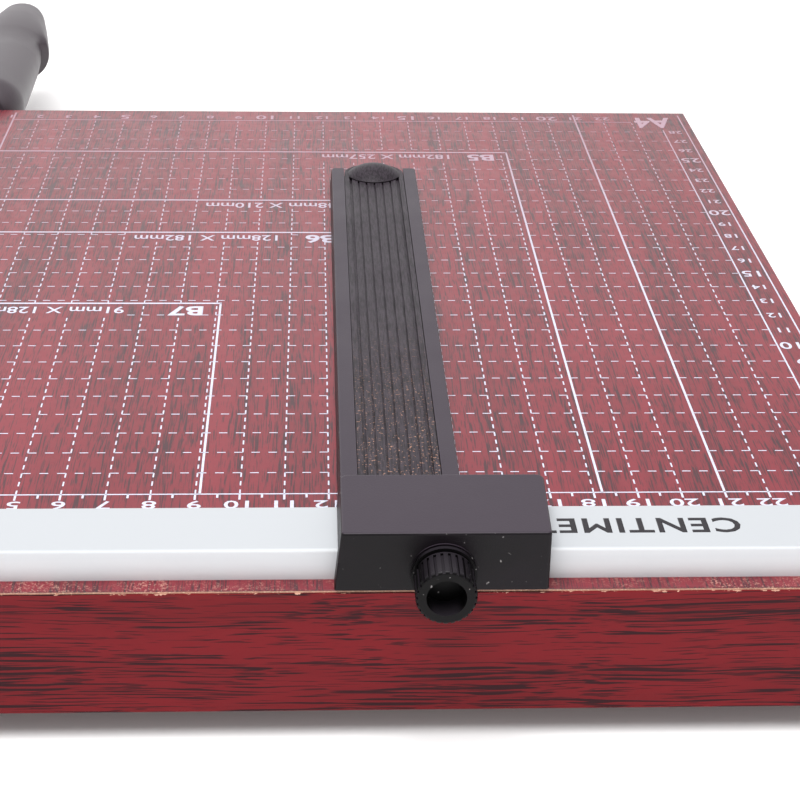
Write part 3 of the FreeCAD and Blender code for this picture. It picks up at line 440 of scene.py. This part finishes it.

# %% [markdown]
# ## Moulded plastics
#
# The gauge, the knob and the grip are moulded black plastic, with a fine spark texture that
# breaks up the highlight. Handling leaves them slightly polished in patches and dusted with pale
# specks. The fence is white plastic, smoother, with faint flow marks along it. What faces up gets a
# painted top tone for the light from above: paler on the black plastics and greyer on the white
# fence. The specks and the texture are noise of very different sizes, so one recipe covers every
# plastic here.

# %% Plastics
def plastic(name, shade, pale, roughness, grain, grain_depth, speck=0.0, flow=(60.0, 60.0, 60.0),
            specular=0.5, painted_top_tone=None, sawdust=None):
    """Moulded plastic: shade and pale are its two tones, grain the texture's cycles per metre,
    painted_top_tone the tone painted on what faces up as painted top light (paler on black, greyer on
    white), sawdust where specks start and are thick."""
    finish = Finish(name, roughness=roughness, specular=specular)
    cloud = finish.noise(flow, 3.0, 0.55)
    spark = finish.noise((grain,) * 3, 2.0, 0.6)
    tone = finish.mix(finish.remap(cloud, 0.35, 0.7), shade, pale)
    if speck:
        dust = finish.noise((760.0,) * 3, 2.0, 0.45)
        tone = finish.mix(finish.remap(dust, 0.74 - 0.06 * speck, 0.78), tone, srgb(150, 146, 146))
    # Painted top light: what faces up is mixed towards painted_top_tone, paler on the black plastics and
    # greyer on the white fence, for the light that falls from above.
    if painted_top_tone is not None:
        normal = finish.axis("Z", finish.add("TexCoord").outputs["Normal"])
        lit_from_above = finish.remap(finish.maths("ADD", normal, finish.maths("MULTIPLY", cloud, 0.1)), 0.55, 1.0)
        tone = finish.mix(lit_from_above, tone, painted_top_tone)
    if sawdust is not None:
        grit = finish.remap(finish.noise((2200.0, 220.0, 2200.0), 3.0, 0.65), 0.40, 0.62)
        tone = finish.mix(finish.maths("MULTIPLY", grit, 0.7), tone, shade)
        specks = finish.remap(finish.noise((1500.0,) * 3, 2.0, 0.6), 0.62, 0.66)
        fall = finish.remap(finish.axis("Y"), *sawdust)
        tone = finish.mix(finish.maths("MULTIPLY", specks, fall), tone, srgb(170, 128, 108))
    finish.colour(tone)
    finish.roughness(finish.maths("MULTIPLY_ADD", cloud, 0.22, roughness - 0.11))
    finish.bump(spark, grain_depth, 0.6)
    return finish.material


# On the black plastics the painted_top_tone is a paler painted top light on what faces up.
black_gauge = plastic("black_gauge_plastic", srgb(12, 8, 12), srgb(20, 14, 20), 0.40, 2600.0, 0.05 * MM, 0.8,
                      specular=0.19, painted_top_tone=srgb(60, 52, 61))
black_knob = plastic("black_knob_plastic", srgb(6, 5, 6), srgb(12, 10, 12), 0.38, 2100.0, 0.03 * MM, 0.3,
                     specular=0.14, painted_top_tone=srgb(38, 34, 39))
dusty_from_y, dusty_to_y = on_board(0, 12.0).y, on_board(0, 1.0).y
dusty_gauge = plastic("dusty_gauge_plastic", srgb(14, 9, 14), srgb(22, 16, 22), 0.46, 1900.0, 0.06 * MM, 0.5,
                      specular=0.22, painted_top_tone=srgb(58, 50, 58), sawdust=(dusty_from_y, dusty_to_y))
# Painted glare: the grip is black plastic, but its colour is a lighter grey that stands in for the haze and
# reflections seen on it.
grip_plastic = plastic("grip_plastic_grey_painted_glare", srgb(68, 60, 66), srgb(80, 72, 78), 0.42, 1500.0, 0.05 * MM)
# On the fence the painted_top_tone is greyer than its body: painted shade on its top, which keeps the top
# from reading brighter than the front.
white_fence = plastic("white_fence_plastic", srgb(220, 222, 225), srgb(215, 218, 222), 0.36, 900.0,
                      0.01 * MM, 0.0, (6.0, 220.0, 220.0), 0.3, srgb(184, 187, 191))
nylon = plastic("natural_nylon", srgb(226, 222, 208), srgb(214, 209, 192), 0.45, 1200.0, 0.01 * MM)
print("plastics ready")

# %% [markdown]
# ## Rubber
#
# The feet and the bumper are black rubber: no gloss, a powdery bloom, and a slightly uneven skin.

# %% Rubber
def rubber():
    finish = Finish("black_rubber", roughness=0.82, specular=0.3)
    bloom = finish.noise((340.0, 340.0, 340.0), 3.0, 0.6)
    finish.colour(finish.mix(finish.remap(bloom, 0.4, 0.75), srgb(28, 28, 29), srgb(52, 51, 50)))
    finish.bump(finish.noise((1500.0,) * 3, 2.0), 0.05 * MM, 0.6)
    return finish.material


black_rubber = rubber()
print("rubber ready")

# %% [markdown]
# ## Metals
#
# The fixed edge and the blade are ground steel with fine scratches across their length. Plated
# screws and washers are brighter and smoother, with a faint mottle. The bush and the clamp's
# insert are turned brass. Each is one metallic recipe: scratches are noise stretched very far
# along the grinding direction, and they drive the roughness and a shallow relief.

# %% Metals
def metal(name, shade, pale, roughness, scratch, depth, anisotropic=0.0):
    """Metal with scratches: scratch gives the cycles per metre along each axis."""
    finish = Finish(name, roughness=roughness, metallic=1.0)
    finish.shader.inputs["Anisotropic"].default_value = anisotropic
    lines = finish.noise(scratch, 3.0, 0.65)
    stain = finish.noise((70.0, 45.0, 70.0), 3.0, 0.6)
    finish.colour(finish.mix(finish.remap(stain, 0.3, 0.75), pale, shade))
    finish.roughness(finish.maths("MULTIPLY_ADD", lines, 0.20, roughness - 0.10))
    finish.bump(lines, depth, 0.5)
    return finish.material


ground_steel = metal("ground_steel", srgb(178, 180, 184), srgb(206, 208, 212), 0.30,
                     (200.0, 2200.0, 160.0), 0.02 * MM, 0.4)
zinc_plate = metal("zinc_plate", srgb(176, 178, 180), srgb(204, 206, 208), 0.36, (900.0,) * 3, 0.02 * MM)
zinc_screw = metal("zinc_screw", srgb(168, 170, 172), srgb(200, 202, 204), 0.30, (1800.0,) * 3, 0.015 * MM)
spring_steel = metal("spring_steel", srgb(96, 96, 100), srgb(128, 128, 132), 0.38, (900.0,) * 3, 0.02 * MM)
turned_brass = metal("turned_brass", srgb(178, 142, 84), srgb(208, 172, 108), 0.30,
                     (3200.0, 300.0, 300.0), 0.01 * MM)
print("metals ready")

# %% [markdown]
# ## Painted casting
#
# The blade arm is a casting with thick black paint. Hammered paint has shallow dimples a few
# millimetres apart, which a smooth cell pattern gives well, over the casting's own gentle waves.

# %% Painted casting
def hammered_paint():
    finish = Finish("black_hammered_paint", roughness=0.33, specular=0.5)
    cells = finish.add("TexVoronoi", Vector=finish.stretched((420.0, 420.0, 420.0)), Scale=1.0,
                       feature="SMOOTH_F1")
    waves = finish.noise((90.0, 90.0, 90.0), 2.0, 0.5)
    dimple = cells.outputs["Distance"]
    finish.colour(finish.mix(finish.remap(dimple, 0.1, 0.7), srgb(34, 34, 37), srgb(22, 22, 24)))
    finish.roughness(finish.remap(waves, 0.2, 0.8, 0.26, 0.42))
    finish.bump(dimple, 0.10 * MM, 0.6)
    return finish.material


arm_paint = hammered_paint()
print("paint ready")

# %% Finishes on the frame's pieces
FINISHES = {
    "base_core": bare_board, "top_film": top_print, "bottom_film": backing_film,
    "back_edge_band": long_edge, "front_edge_band": long_edge,
    "side_edge_band": side_edge, "cut_side_edge_band": side_edge,
    "rubber_feet": black_rubber, "stop_bumper": black_rubber,
    "bed_knife": ground_steel, "blade": ground_steel,
    "stop_bracket": zinc_plate, "pivot_block": zinc_plate, "thrust_washer": zinc_plate,
    "spring_washer": zinc_plate, "spring_seat": zinc_plate, "safety_latch": zinc_plate,
    "foot_screws": zinc_screw, "bed_knife_screws": zinc_screw, "stop_bracket_screws": zinc_screw,
    "pivot_bolt": zinc_screw, "pivot_nut": zinc_screw, "fence_screws": zinc_screw,
    "latch_screw": zinc_screw, "blade_screws": zinc_screw, "blade_nuts": zinc_screw,
    "grip_bolt": zinc_screw, "grip_nut": zinc_screw, "gauge_arm_screws": zinc_screw,
    "clamp_stud": zinc_screw, "disc_springs": spring_steel,
    "pivot_bush": turned_brass, "clamp_insert": turned_brass, "clamp_pad": nylon,
    "blade_arm": arm_paint, "handle_grip": grip_plastic, "fence": white_fence,
    "gauge_head": black_gauge, "gauge_arm": black_gauge, "gauge_slider": dusty_gauge,
    "clamp_knob": black_knob,
}
for name, finish in FINISHES.items():
    mesh = nodes[name].data
    mesh.materials.clear()
    mesh.materials.append(finish)
print("finishes on", len(FINISHES), "pieces, without one:", sorted(set(nodes) - set(FINISHES)))

# %% [markdown]
# ## Handle grip
#
# The grip is one moulding with a smooth saddle on top: a round neck swells into a broader palm that
# tapers to a round tip. On the sides and below the palm starts with an abrupt lip, and on top the
# same step is drawn out into a long slope. It is built in rings around the grip's axis, and the
# recess of its bolt is cut out of the outer side. The nut is closed in on the board's side.

# %% Grip skin
RINGS, AROUND = 170, 112
SQUARENESS = 2.25
LIP_AT = 78.5
TIP_ROUND = 12.0
BACK_ROUND = 11.0
BACK_CLOSING = 0.62
SIDE_STEP = 1.2
TOP_SLOPE = 46.0

# millimetres from the end by the board, half width, half height
NECK = [(0.0, 15.3, 11.2), (30.0, 14.6, 10.8), (60.0, 13.9, 10.2), (132.0, 9.0, 8.8)]
PALM = [(0.0, 15.4, 11.4), (60.0, 15.4, 11.8), (82.0, 15.2, 11.9), (104.0, 11.9, 10.6), (132.0, 7.4, 8.2)]
TIP_LEAN = 0.5


def smooth_step(value, low, high):
    t = min(1.0, max(0.0, (value - low) / (high - low)))
    return t * t * (3.0 - 2.0 * t)


def profile(stations, s):
    """Half width and half height at s, between the stations."""
    for (s0, *first), (s1, *second) in zip(stations, stations[1:]):
        if s <= s1:
            t = (s - s0) / (s1 - s0)
            return [a + (b - a) * t for a, b in zip(first, second)]
    return list(stations[-1][1:])


def grip_point(s, angle, length):
    """A point of the skin in millimetres from the axis, s along it and angle around it."""
    up = math.sin(angle)
    top = smooth_step(up, 0.25, 0.95)
    start = LIP_AT - TOP_SLOPE * top * 0.35
    end = LIP_AT + SIDE_STEP + TOP_SLOPE * top * 0.65
    share = smooth_step(s, start, end)
    neck, palm = profile(NECK, s), profile(PALM, s)
    wide, high = [a + (b - a) * share for a, b in zip(neck, palm)]
    close = max(0.0, (s - (length - TIP_ROUND)) / TIP_ROUND)
    open_back = max(0.0, 1.0 - s / BACK_ROUND)
    shrink = math.sqrt(max(0.0, 1.0 - close * close)) * math.sqrt(1.0 - BACK_CLOSING * open_back * open_back)
    power = 2.0 / SQUARENESS
    across = math.copysign(abs(math.cos(angle)) ** power, math.cos(angle)) * wide * shrink
    above = math.copysign(abs(up) ** power, up) * high * shrink
    return across + TIP_LEAN * smooth_step(s, 85.0, length), above


def grip_skin():
    low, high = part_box("handle_grip")
    length = (high.y - low.y) / MM
    centre_x, centre_z = (low.x + high.x) / 2, (low.z + high.z) / 2
    mesh = bmesh.new()
    rings = []
    for i in range(RINGS):
        t = i / (RINGS - 1)
        s = length * t if t < 0.9 else length * (0.9 + 0.1 * math.sin((t - 0.9) / 0.1 * math.pi / 2))
        if i < RINGS - 1:
            points = [grip_point(s, 2 * math.pi * j / AROUND, length) for j in range(AROUND)]
            places = [(centre_x + x * MM, high.y - s * MM, centre_z + z * MM) for x, z in points]
            rings.append([mesh.verts.new(place) for place in places])
    tip = mesh.verts.new((centre_x + TIP_LEAN * MM, low.y, centre_z))
    back = mesh.verts.new((centre_x, high.y, centre_z))
    for j in range(AROUND):
        k = (j + 1) % AROUND
        mesh.faces.new((back, rings[0][j], rings[0][k]))
        mesh.faces.new((tip, rings[-1][k], rings[-1][j]))
        for first, second in zip(rings, rings[1:]):
            mesh.faces.new((first[j], second[j], second[k], first[k]))
    bmesh.ops.recalc_face_normals(mesh, faces=mesh.faces)
    for face in mesh.faces:
        face.smooth = back not in face.verts
    data = bpy.data.meshes.new("moulded_grip")
    mesh.to_mesh(data)
    mesh.free()
    return mesh_object("moulded_grip", data)


def bore(piece, start, end, radius):
    """Cuts a cylinder along X out of a piece, between two places."""
    mesh = bmesh.new()
    turn = Matrix.Rotation(math.pi / 2, 4, "Y")
    bmesh.ops.create_cone(mesh, cap_ends=True, segments=64, radius1=radius, radius2=radius,
                          depth=abs(end.x - start.x), matrix=Matrix.Translation((start + end) / 2) @ turn)
    data = bpy.data.meshes.new("bore")
    mesh.to_mesh(data)
    mesh.free()
    tool = mesh_object("bore", data)
    modifier = piece.modifiers.new("bore", "BOOLEAN")
    modifier.operation = "DIFFERENCE"
    modifier.solver = "EXACT"
    modifier.object = tool
    plain_mesh(piece)
    bpy.data.objects.remove(tool)


RECESS_RADIUS = 4.9 * MM
BOLT_HEAD = 2.6 * MM
BEYOND = 6.0 * MM
grip = grip_skin()
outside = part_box("handle_grip")[1].x + BEYOND
bolt_low, bolt_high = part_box("grip_bolt")
bolt_middle = (bolt_low + bolt_high) / 2
head_seat = Vector((bolt_high.x - BOLT_HEAD, bolt_middle.y, bolt_middle.z))
bore(grip, head_seat, Vector((outside, bolt_middle.y, bolt_middle.z)), RECESS_RADIUS)
grip.data.materials.clear()
grip.data.materials.append(grip_plastic)
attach(grip, "cutter_arm")
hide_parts("handle_grip")
print("grip skin", len(grip.data.polygons), "faces")

# %% [markdown]
# ## Printing ink
#
# The print is white ink about a twentieth of a millimetre thick, slightly uneven, and rubbed thin
# towards the user, where paper slides over it. It is modelled as real, very thin solids that stand
# on the film, so it casts no visible shadow but stays sharp. The fence is lettered in black.

# %% Inks
INK = 0.05 * MM
SUNK = 0.01 * MM


def ink(name, shade, worn):
    finish = Finish(name, roughness=0.42, specular=0.35)
    rubbed = finish.remap(finish.axis("Y"), worn_to, worn_from)
    grain = finish.remap(finish.noise((1300.0, 1300.0, 1300.0), 2.0, 0.6), 0.35, 0.7)
    fresh = finish.maths("MULTIPLY", grain, 0.25)
    wear = finish.maths("MAXIMUM", fresh, finish.maths("MULTIPLY", rubbed, 0.75))
    finish.colour(finish.mix(wear, shade, worn))
    finish.bump(grain, 0.01 * MM, 0.4)
    return finish.material


worn_from = on_board(0, 30.0).y
worn_to = on_board(0, 8.0).y
white_ink = ink("white_ink", srgb(208, 214, 231), srgb(160, 104, 116))
black_ink = ink("black_ink", srgb(30, 26, 32), srgb(52, 48, 54))
print("inks ready")

# %% [markdown]
# ## Dashes and ticks by Geometry Nodes
#
# Thousands of equal dashes make the grid. The tree below takes a cloud of points and puts one
# thin bar on each: its length, width and thickness are named inputs. The points come from a short
# loop, because a dash is left out wherever a label is printed. The tree realizes its instances
# and sets the ink, and the result is turned into one plain mesh.

# %% The dash tree
def dash_tree():
    tree = bpy.data.node_groups.new("printed_dashes", "GeometryNodeTree")
    tree.is_modifier = True
    interface = tree.interface
    interface.new_socket("Points", in_out="INPUT", socket_type="NodeSocketGeometry")
    for name in ("Length across", "Length along", "Thickness"):
        interface.new_socket(name, in_out="INPUT", socket_type="NodeSocketFloat")
    interface.new_socket("Ink", in_out="INPUT", socket_type="NodeSocketMaterial")
    interface.new_socket("Bars", in_out="OUTPUT", socket_type="NodeSocketGeometry")
    add = tree.nodes.new
    source, result = add("NodeGroupInput"), add("NodeGroupOutput")
    size, bar = add("ShaderNodeCombineXYZ"), add("GeometryNodeMeshCube")
    place, realize = add("GeometryNodeInstanceOnPoints"), add("GeometryNodeRealizeInstances")
    paint = add("GeometryNodeSetMaterial")
    link = tree.links.new
    for axis, name in zip("XYZ", ("Length across", "Length along", "Thickness")):
        link(source.outputs[name], size.inputs[axis])
    link(size.outputs[0], bar.inputs["Size"])
    link(source.outputs["Points"], place.inputs["Points"])
    link(bar.outputs["Mesh"], place.inputs["Instance"])
    link(place.outputs["Instances"], realize.inputs["Geometry"])
    link(realize.outputs["Geometry"], paint.inputs["Geometry"])
    link(source.outputs["Ink"], paint.inputs["Material"])
    link(paint.outputs["Geometry"], result.inputs["Bars"])
    return tree


def set_inputs(modifier, values):
    """Sets a modifier's inputs by the identifiers of its tree's named sockets."""
    for socket in modifier.node_group.interface.items_tree:
        if socket.in_out == "INPUT" and socket.name in values:
            modifier[socket.identifier] = values[socket.name]


DASHES = dash_tree()


def print_bars(name, centres, across, along, finish=white_ink):
    """One bar of ink at each centre, in one mesh on the board."""
    mesh = bpy.data.meshes.new(name)
    mesh.from_pydata([on_board(x, y, INK / 2 - SUNK) for x, y in centres], [], [])
    piece = mesh_object(name, mesh)
    modifier = piece.modifiers.new("bars", "NODES")
    modifier.node_group = DASHES
    set_inputs(modifier, {"Length across": across * CM, "Length along": along * CM,
                          "Thickness": INK, "Ink": finish})
    plain_mesh(piece)
    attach(piece, "board")
    print(name, len(centres), "bars")
    return piece


# %% [markdown]
# ## The grid
#
# The grid has a line at every centimetre. Each is dashed: two millimetres of ink, two of gap. The
# dashes across the board start at every odd centimetre, and those along it at every even one,
# which makes the small corners at the crossings. Labels lie in clear patches with no dashes.

# %% Grid dashes
DASH = 0.2
PERIOD = 0.4
FINE = 0.036
LEFT_BORDER = 1.1
NEAR_SCALE = 2.0
FAR_SCALE = 29.1
A4_LINE = 21.0
LAST_COLUMN = 23
CELL = 4.5
ROW = 0.8

# size name, its measure, across, along, and how far the measure starts from the outline's corner
PAPERS = [("B7", "91mm X 128mm", 9.1, 12.8, 2.6), ("B6", "128mm X 182mm", 12.8, 18.2, 2.1),
          ("A5", "148mm X 210mm", 14.8, 21.0, 2.1), ("B5", "182mm X 257mm", 18.2, 25.7, 1.85)]


def printed_over(x, y):
    """Whether a label or a solid line takes this place, so that it gets no dash."""
    for _, _, across, along, start in PAPERS:
        row = along - ROW - 0.04 < y < along - 0.02
        if row and (across - start - CELL < x < across - start + 0.1 or across - 1.5 < x < across - 0.4):
            return True
        if abs(y - along) < FINE and x < across:
            return True
    return abs(x - A4_LINE) < FINE


def dash_starts(first, low, high):
    """Where dashes start between low and high, counted from the whole centimetre named first."""
    start = first - PERIOD * math.floor((first - low) / PERIOD)
    count = int((high - DASH - start) / PERIOD + 1e-6) + 1
    return [start + PERIOD * i for i in range(count)]


rows = range(int(NEAR_SCALE) + 1, int(FAR_SCALE))
columns = range(2, LAST_COLUMN + 1)
across_starts = dash_starts(5.0, LEFT_BORDER, LAST_COLUMN + 1)
along_starts = dash_starts(4.0, NEAR_SCALE, FAR_SCALE)
across_dashes = [(x + DASH / 2, y) for y in rows for x in across_starts]
along_dashes = [(x, y + DASH / 2) for x in columns for y in along_starts]
print_bars("grid_dashes_across", [c for c in across_dashes if not printed_over(*c)], DASH, FINE)
print_bars("grid_dashes_along", [c for c in along_dashes if not printed_over(*c)], FINE, DASH)

# %% Scale ticks
TICK = 0.26
HALF_TICK = 0.17
TICK_WIDTH = 0.05
whole_ticks = [(x, NEAR_SCALE - TICK / 2) for x in range(1, LAST_COLUMN + 1)]
half_ticks = [(x + 0.5, NEAR_SCALE - HALF_TICK / 2) for x in range(1, LAST_COLUMN)]
print_bars("near_centimetre_ticks", whole_ticks, TICK_WIDTH, TICK)
print_bars("near_half_ticks", half_ticks, TICK_WIDTH, HALF_TICK)

# %% [markdown]
# ## Solid lines
#
# Paper outlines, the border and the scale lines are solid strokes. Each is one long bar, so they
# are built straight into one mesh: a stroke is a box from corner to corner.

# %% Solid lines
def add_box(mesh, low, high):
    """A closed box between two corners, added to a bmesh with outward faces."""
    made = bmesh.ops.create_cube(mesh, size=1.0)
    centre = (Vector(low) + Vector(high)) / 2
    size = Vector(high) - Vector(low)
    placed = Matrix.Translation(centre) @ Matrix.Diagonal((*size, 1.0))
    bmesh.ops.transform(mesh, matrix=placed, verts=made["verts"])


def finished_mesh(mesh, name, finish, body):
    """Writes a bmesh out as a piece with a finish that rides on a body."""
    data = bpy.data.meshes.new(name)
    mesh.to_mesh(data)
    mesh.free()
    data.materials.append(finish)
    piece = mesh_object(name, data)
    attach(piece, body)
    return piece


def stroke(mesh, start, end, width):
    """A straight line of ink between two printed places, square to the board's sides."""
    half = width / 2
    xs = sorted((start[0], end[0]))
    ys = sorted((start[1], end[1]))
    if xs[0] == xs[1]:
        xs = [xs[0] - half, xs[1] + half]
    else:
        ys = [ys[0] - half, ys[1] + half]
    add_box(mesh, on_board(xs[1], ys[1], -SUNK), on_board(xs[0], ys[0], INK - SUNK))


OUTLINE = 0.058
OUTLINE_ACROSS = 0.085
RULE = 0.045
COLUMN = (24.0, 24.8)
COLUMN_END = 28.2
TOP_END = 29.9
lines = bmesh.new()
for _, _, across, along, _ in PAPERS:
    stroke(lines, (LEFT_BORDER, along), (across + OUTLINE / 2, along), OUTLINE_ACROSS)
    stroke(lines, (across, NEAR_SCALE), (across, along), OUTLINE)
stroke(lines, (A4_LINE, NEAR_SCALE), (A4_LINE, TOP_END), OUTLINE)
stroke(lines, (LEFT_BORDER, NEAR_SCALE), (COLUMN[1], NEAR_SCALE), RULE)
stroke(lines, (LEFT_BORDER, FAR_SCALE), (LAST_COLUMN, FAR_SCALE), RULE)
stroke(lines, (LEFT_BORDER, NEAR_SCALE), (LEFT_BORDER, TOP_END), OUTLINE)
stroke(lines, (COLUMN[0], NEAR_SCALE), (COLUMN[0], COLUMN_END), RULE)
stroke(lines, (COLUMN[1], NEAR_SCALE), (COLUMN[1], TOP_END), RULE)
finished_mesh(lines, "printed_lines", white_ink, "board")
print("solid lines printed")

# %% [markdown]
# ## Numbers and labels
#
# Numbers and paper sizes are text, turned into thin solid letters. They read upright for the user,
# who stands at the far end, so from the fence end they are upside down. Each word is built flat,
# widened like the printer's bold face, and moved to its place before all are joined.

# %% Lettering
CAPITAL = 0.70


def add_words(mesh, words, height, place, widen=1.25, weight=0.012, align="CENTER",
              spacing=1.0, letter_space=1.0):
    """Solid lettering at a place: height is a capital letter's, in metres, and weight thickens it."""
    curve = bpy.data.curves.new("letters", "FONT")
    curve.body = words
    curve.size = height / CAPITAL
    curve.extrude = INK / 2
    curve.bevel_depth = weight * curve.size
    curve.bevel_resolution = 0
    flatten = INK / (INK + 2 * curve.bevel_depth)
    curve.resolution_u = 3
    curve.align_x = align
    curve.align_y = "CENTER"
    curve.space_word = spacing
    curve.space_character = letter_space
    text = mesh_object("letters", curve)
    graph = bpy.context.evaluated_depsgraph_get()
    data = bpy.data.meshes.new_from_object(text.evaluated_get(graph), depsgraph=graph)
    bpy.data.objects.remove(text)
    bpy.data.curves.remove(curve)
    lifted = Vector(place) + Vector((0, 0, INK / 2 - SUNK))
    data.transform(Matrix.Translation(lifted) @ Matrix.Diagonal((widen, 1.0, flatten, 1.0)))
    mesh.from_mesh(data)
    bpy.data.meshes.remove(data)


NEAR_DIGIT = 3.4 * MM
SMALL_DIGIT = 3.0 * MM
LARGER = 1.4
SIZE_NAME = 5.9 * MM
MEASURE = 4.3 * MM
CORNER_MARK = 11.0 * MM
FENCE_LETTER = 5.9 * MM
NEAR_NUMBERS = 1.54
FAR_NUMBERS = 29.5
FIRST_ROW, LAST_ROW = 3, 28
numbers = bmesh.new()
for value in range(1, LAST_COLUMN + 1):
    add_words(numbers, str(value), NEAR_DIGIT, on_board(value, NEAR_NUMBERS), 1.45)
for value in range(1, LAST_COLUMN):
    size = LARGER if value % 5 == 0 else 1.0
    add_words(numbers, str(value), size * SMALL_DIGIT, on_board(value, FAR_NUMBERS), 1.3)
for value in range(FIRST_ROW, LAST_ROW + 1):
    size = LARGER if value % 5 == 0 else 1.0
    add_words(numbers, str(value), size * SMALL_DIGIT, on_board(sum(COLUMN) / 2, value), 1.15)
for label, measure, across, along, start in PAPERS:
    add_words(numbers, label, SIZE_NAME, on_board(across - 0.42, along - 0.48), 1.08, 0.03, "LEFT")
    add_words(numbers, measure, MEASURE, on_board(across - start, along - 0.43), 0.98, 0.012, "LEFT")
add_words(numbers, "A4", CORNER_MARK, on_board(23.75, 29.12), 0.68, 0.03)
bmesh.ops.remove_doubles(numbers, verts=numbers.verts, dist=1e-7)
finished_mesh(numbers, "printed_numbers", white_ink, "board")

fence_words = bmesh.new()
fence_middle = (fence_low.y + fence_high.y) / 2
words_start = Vector((on_board(20.75, 0).x, fence_middle - 0.4 * MM, fence_high.z))
add_words(fence_words, "CENTIMETRE GRID", FENCE_LETTER, words_start, 1.04, 0.022, "LEFT", 0.7, 1.12)
bmesh.ops.remove_doubles(fence_words, verts=fence_words.verts, dist=1e-7)
finished_mesh(fence_words, "fence_lettering", black_ink, "board")
print("numbers and labels printed")

# %% The end
print("done")
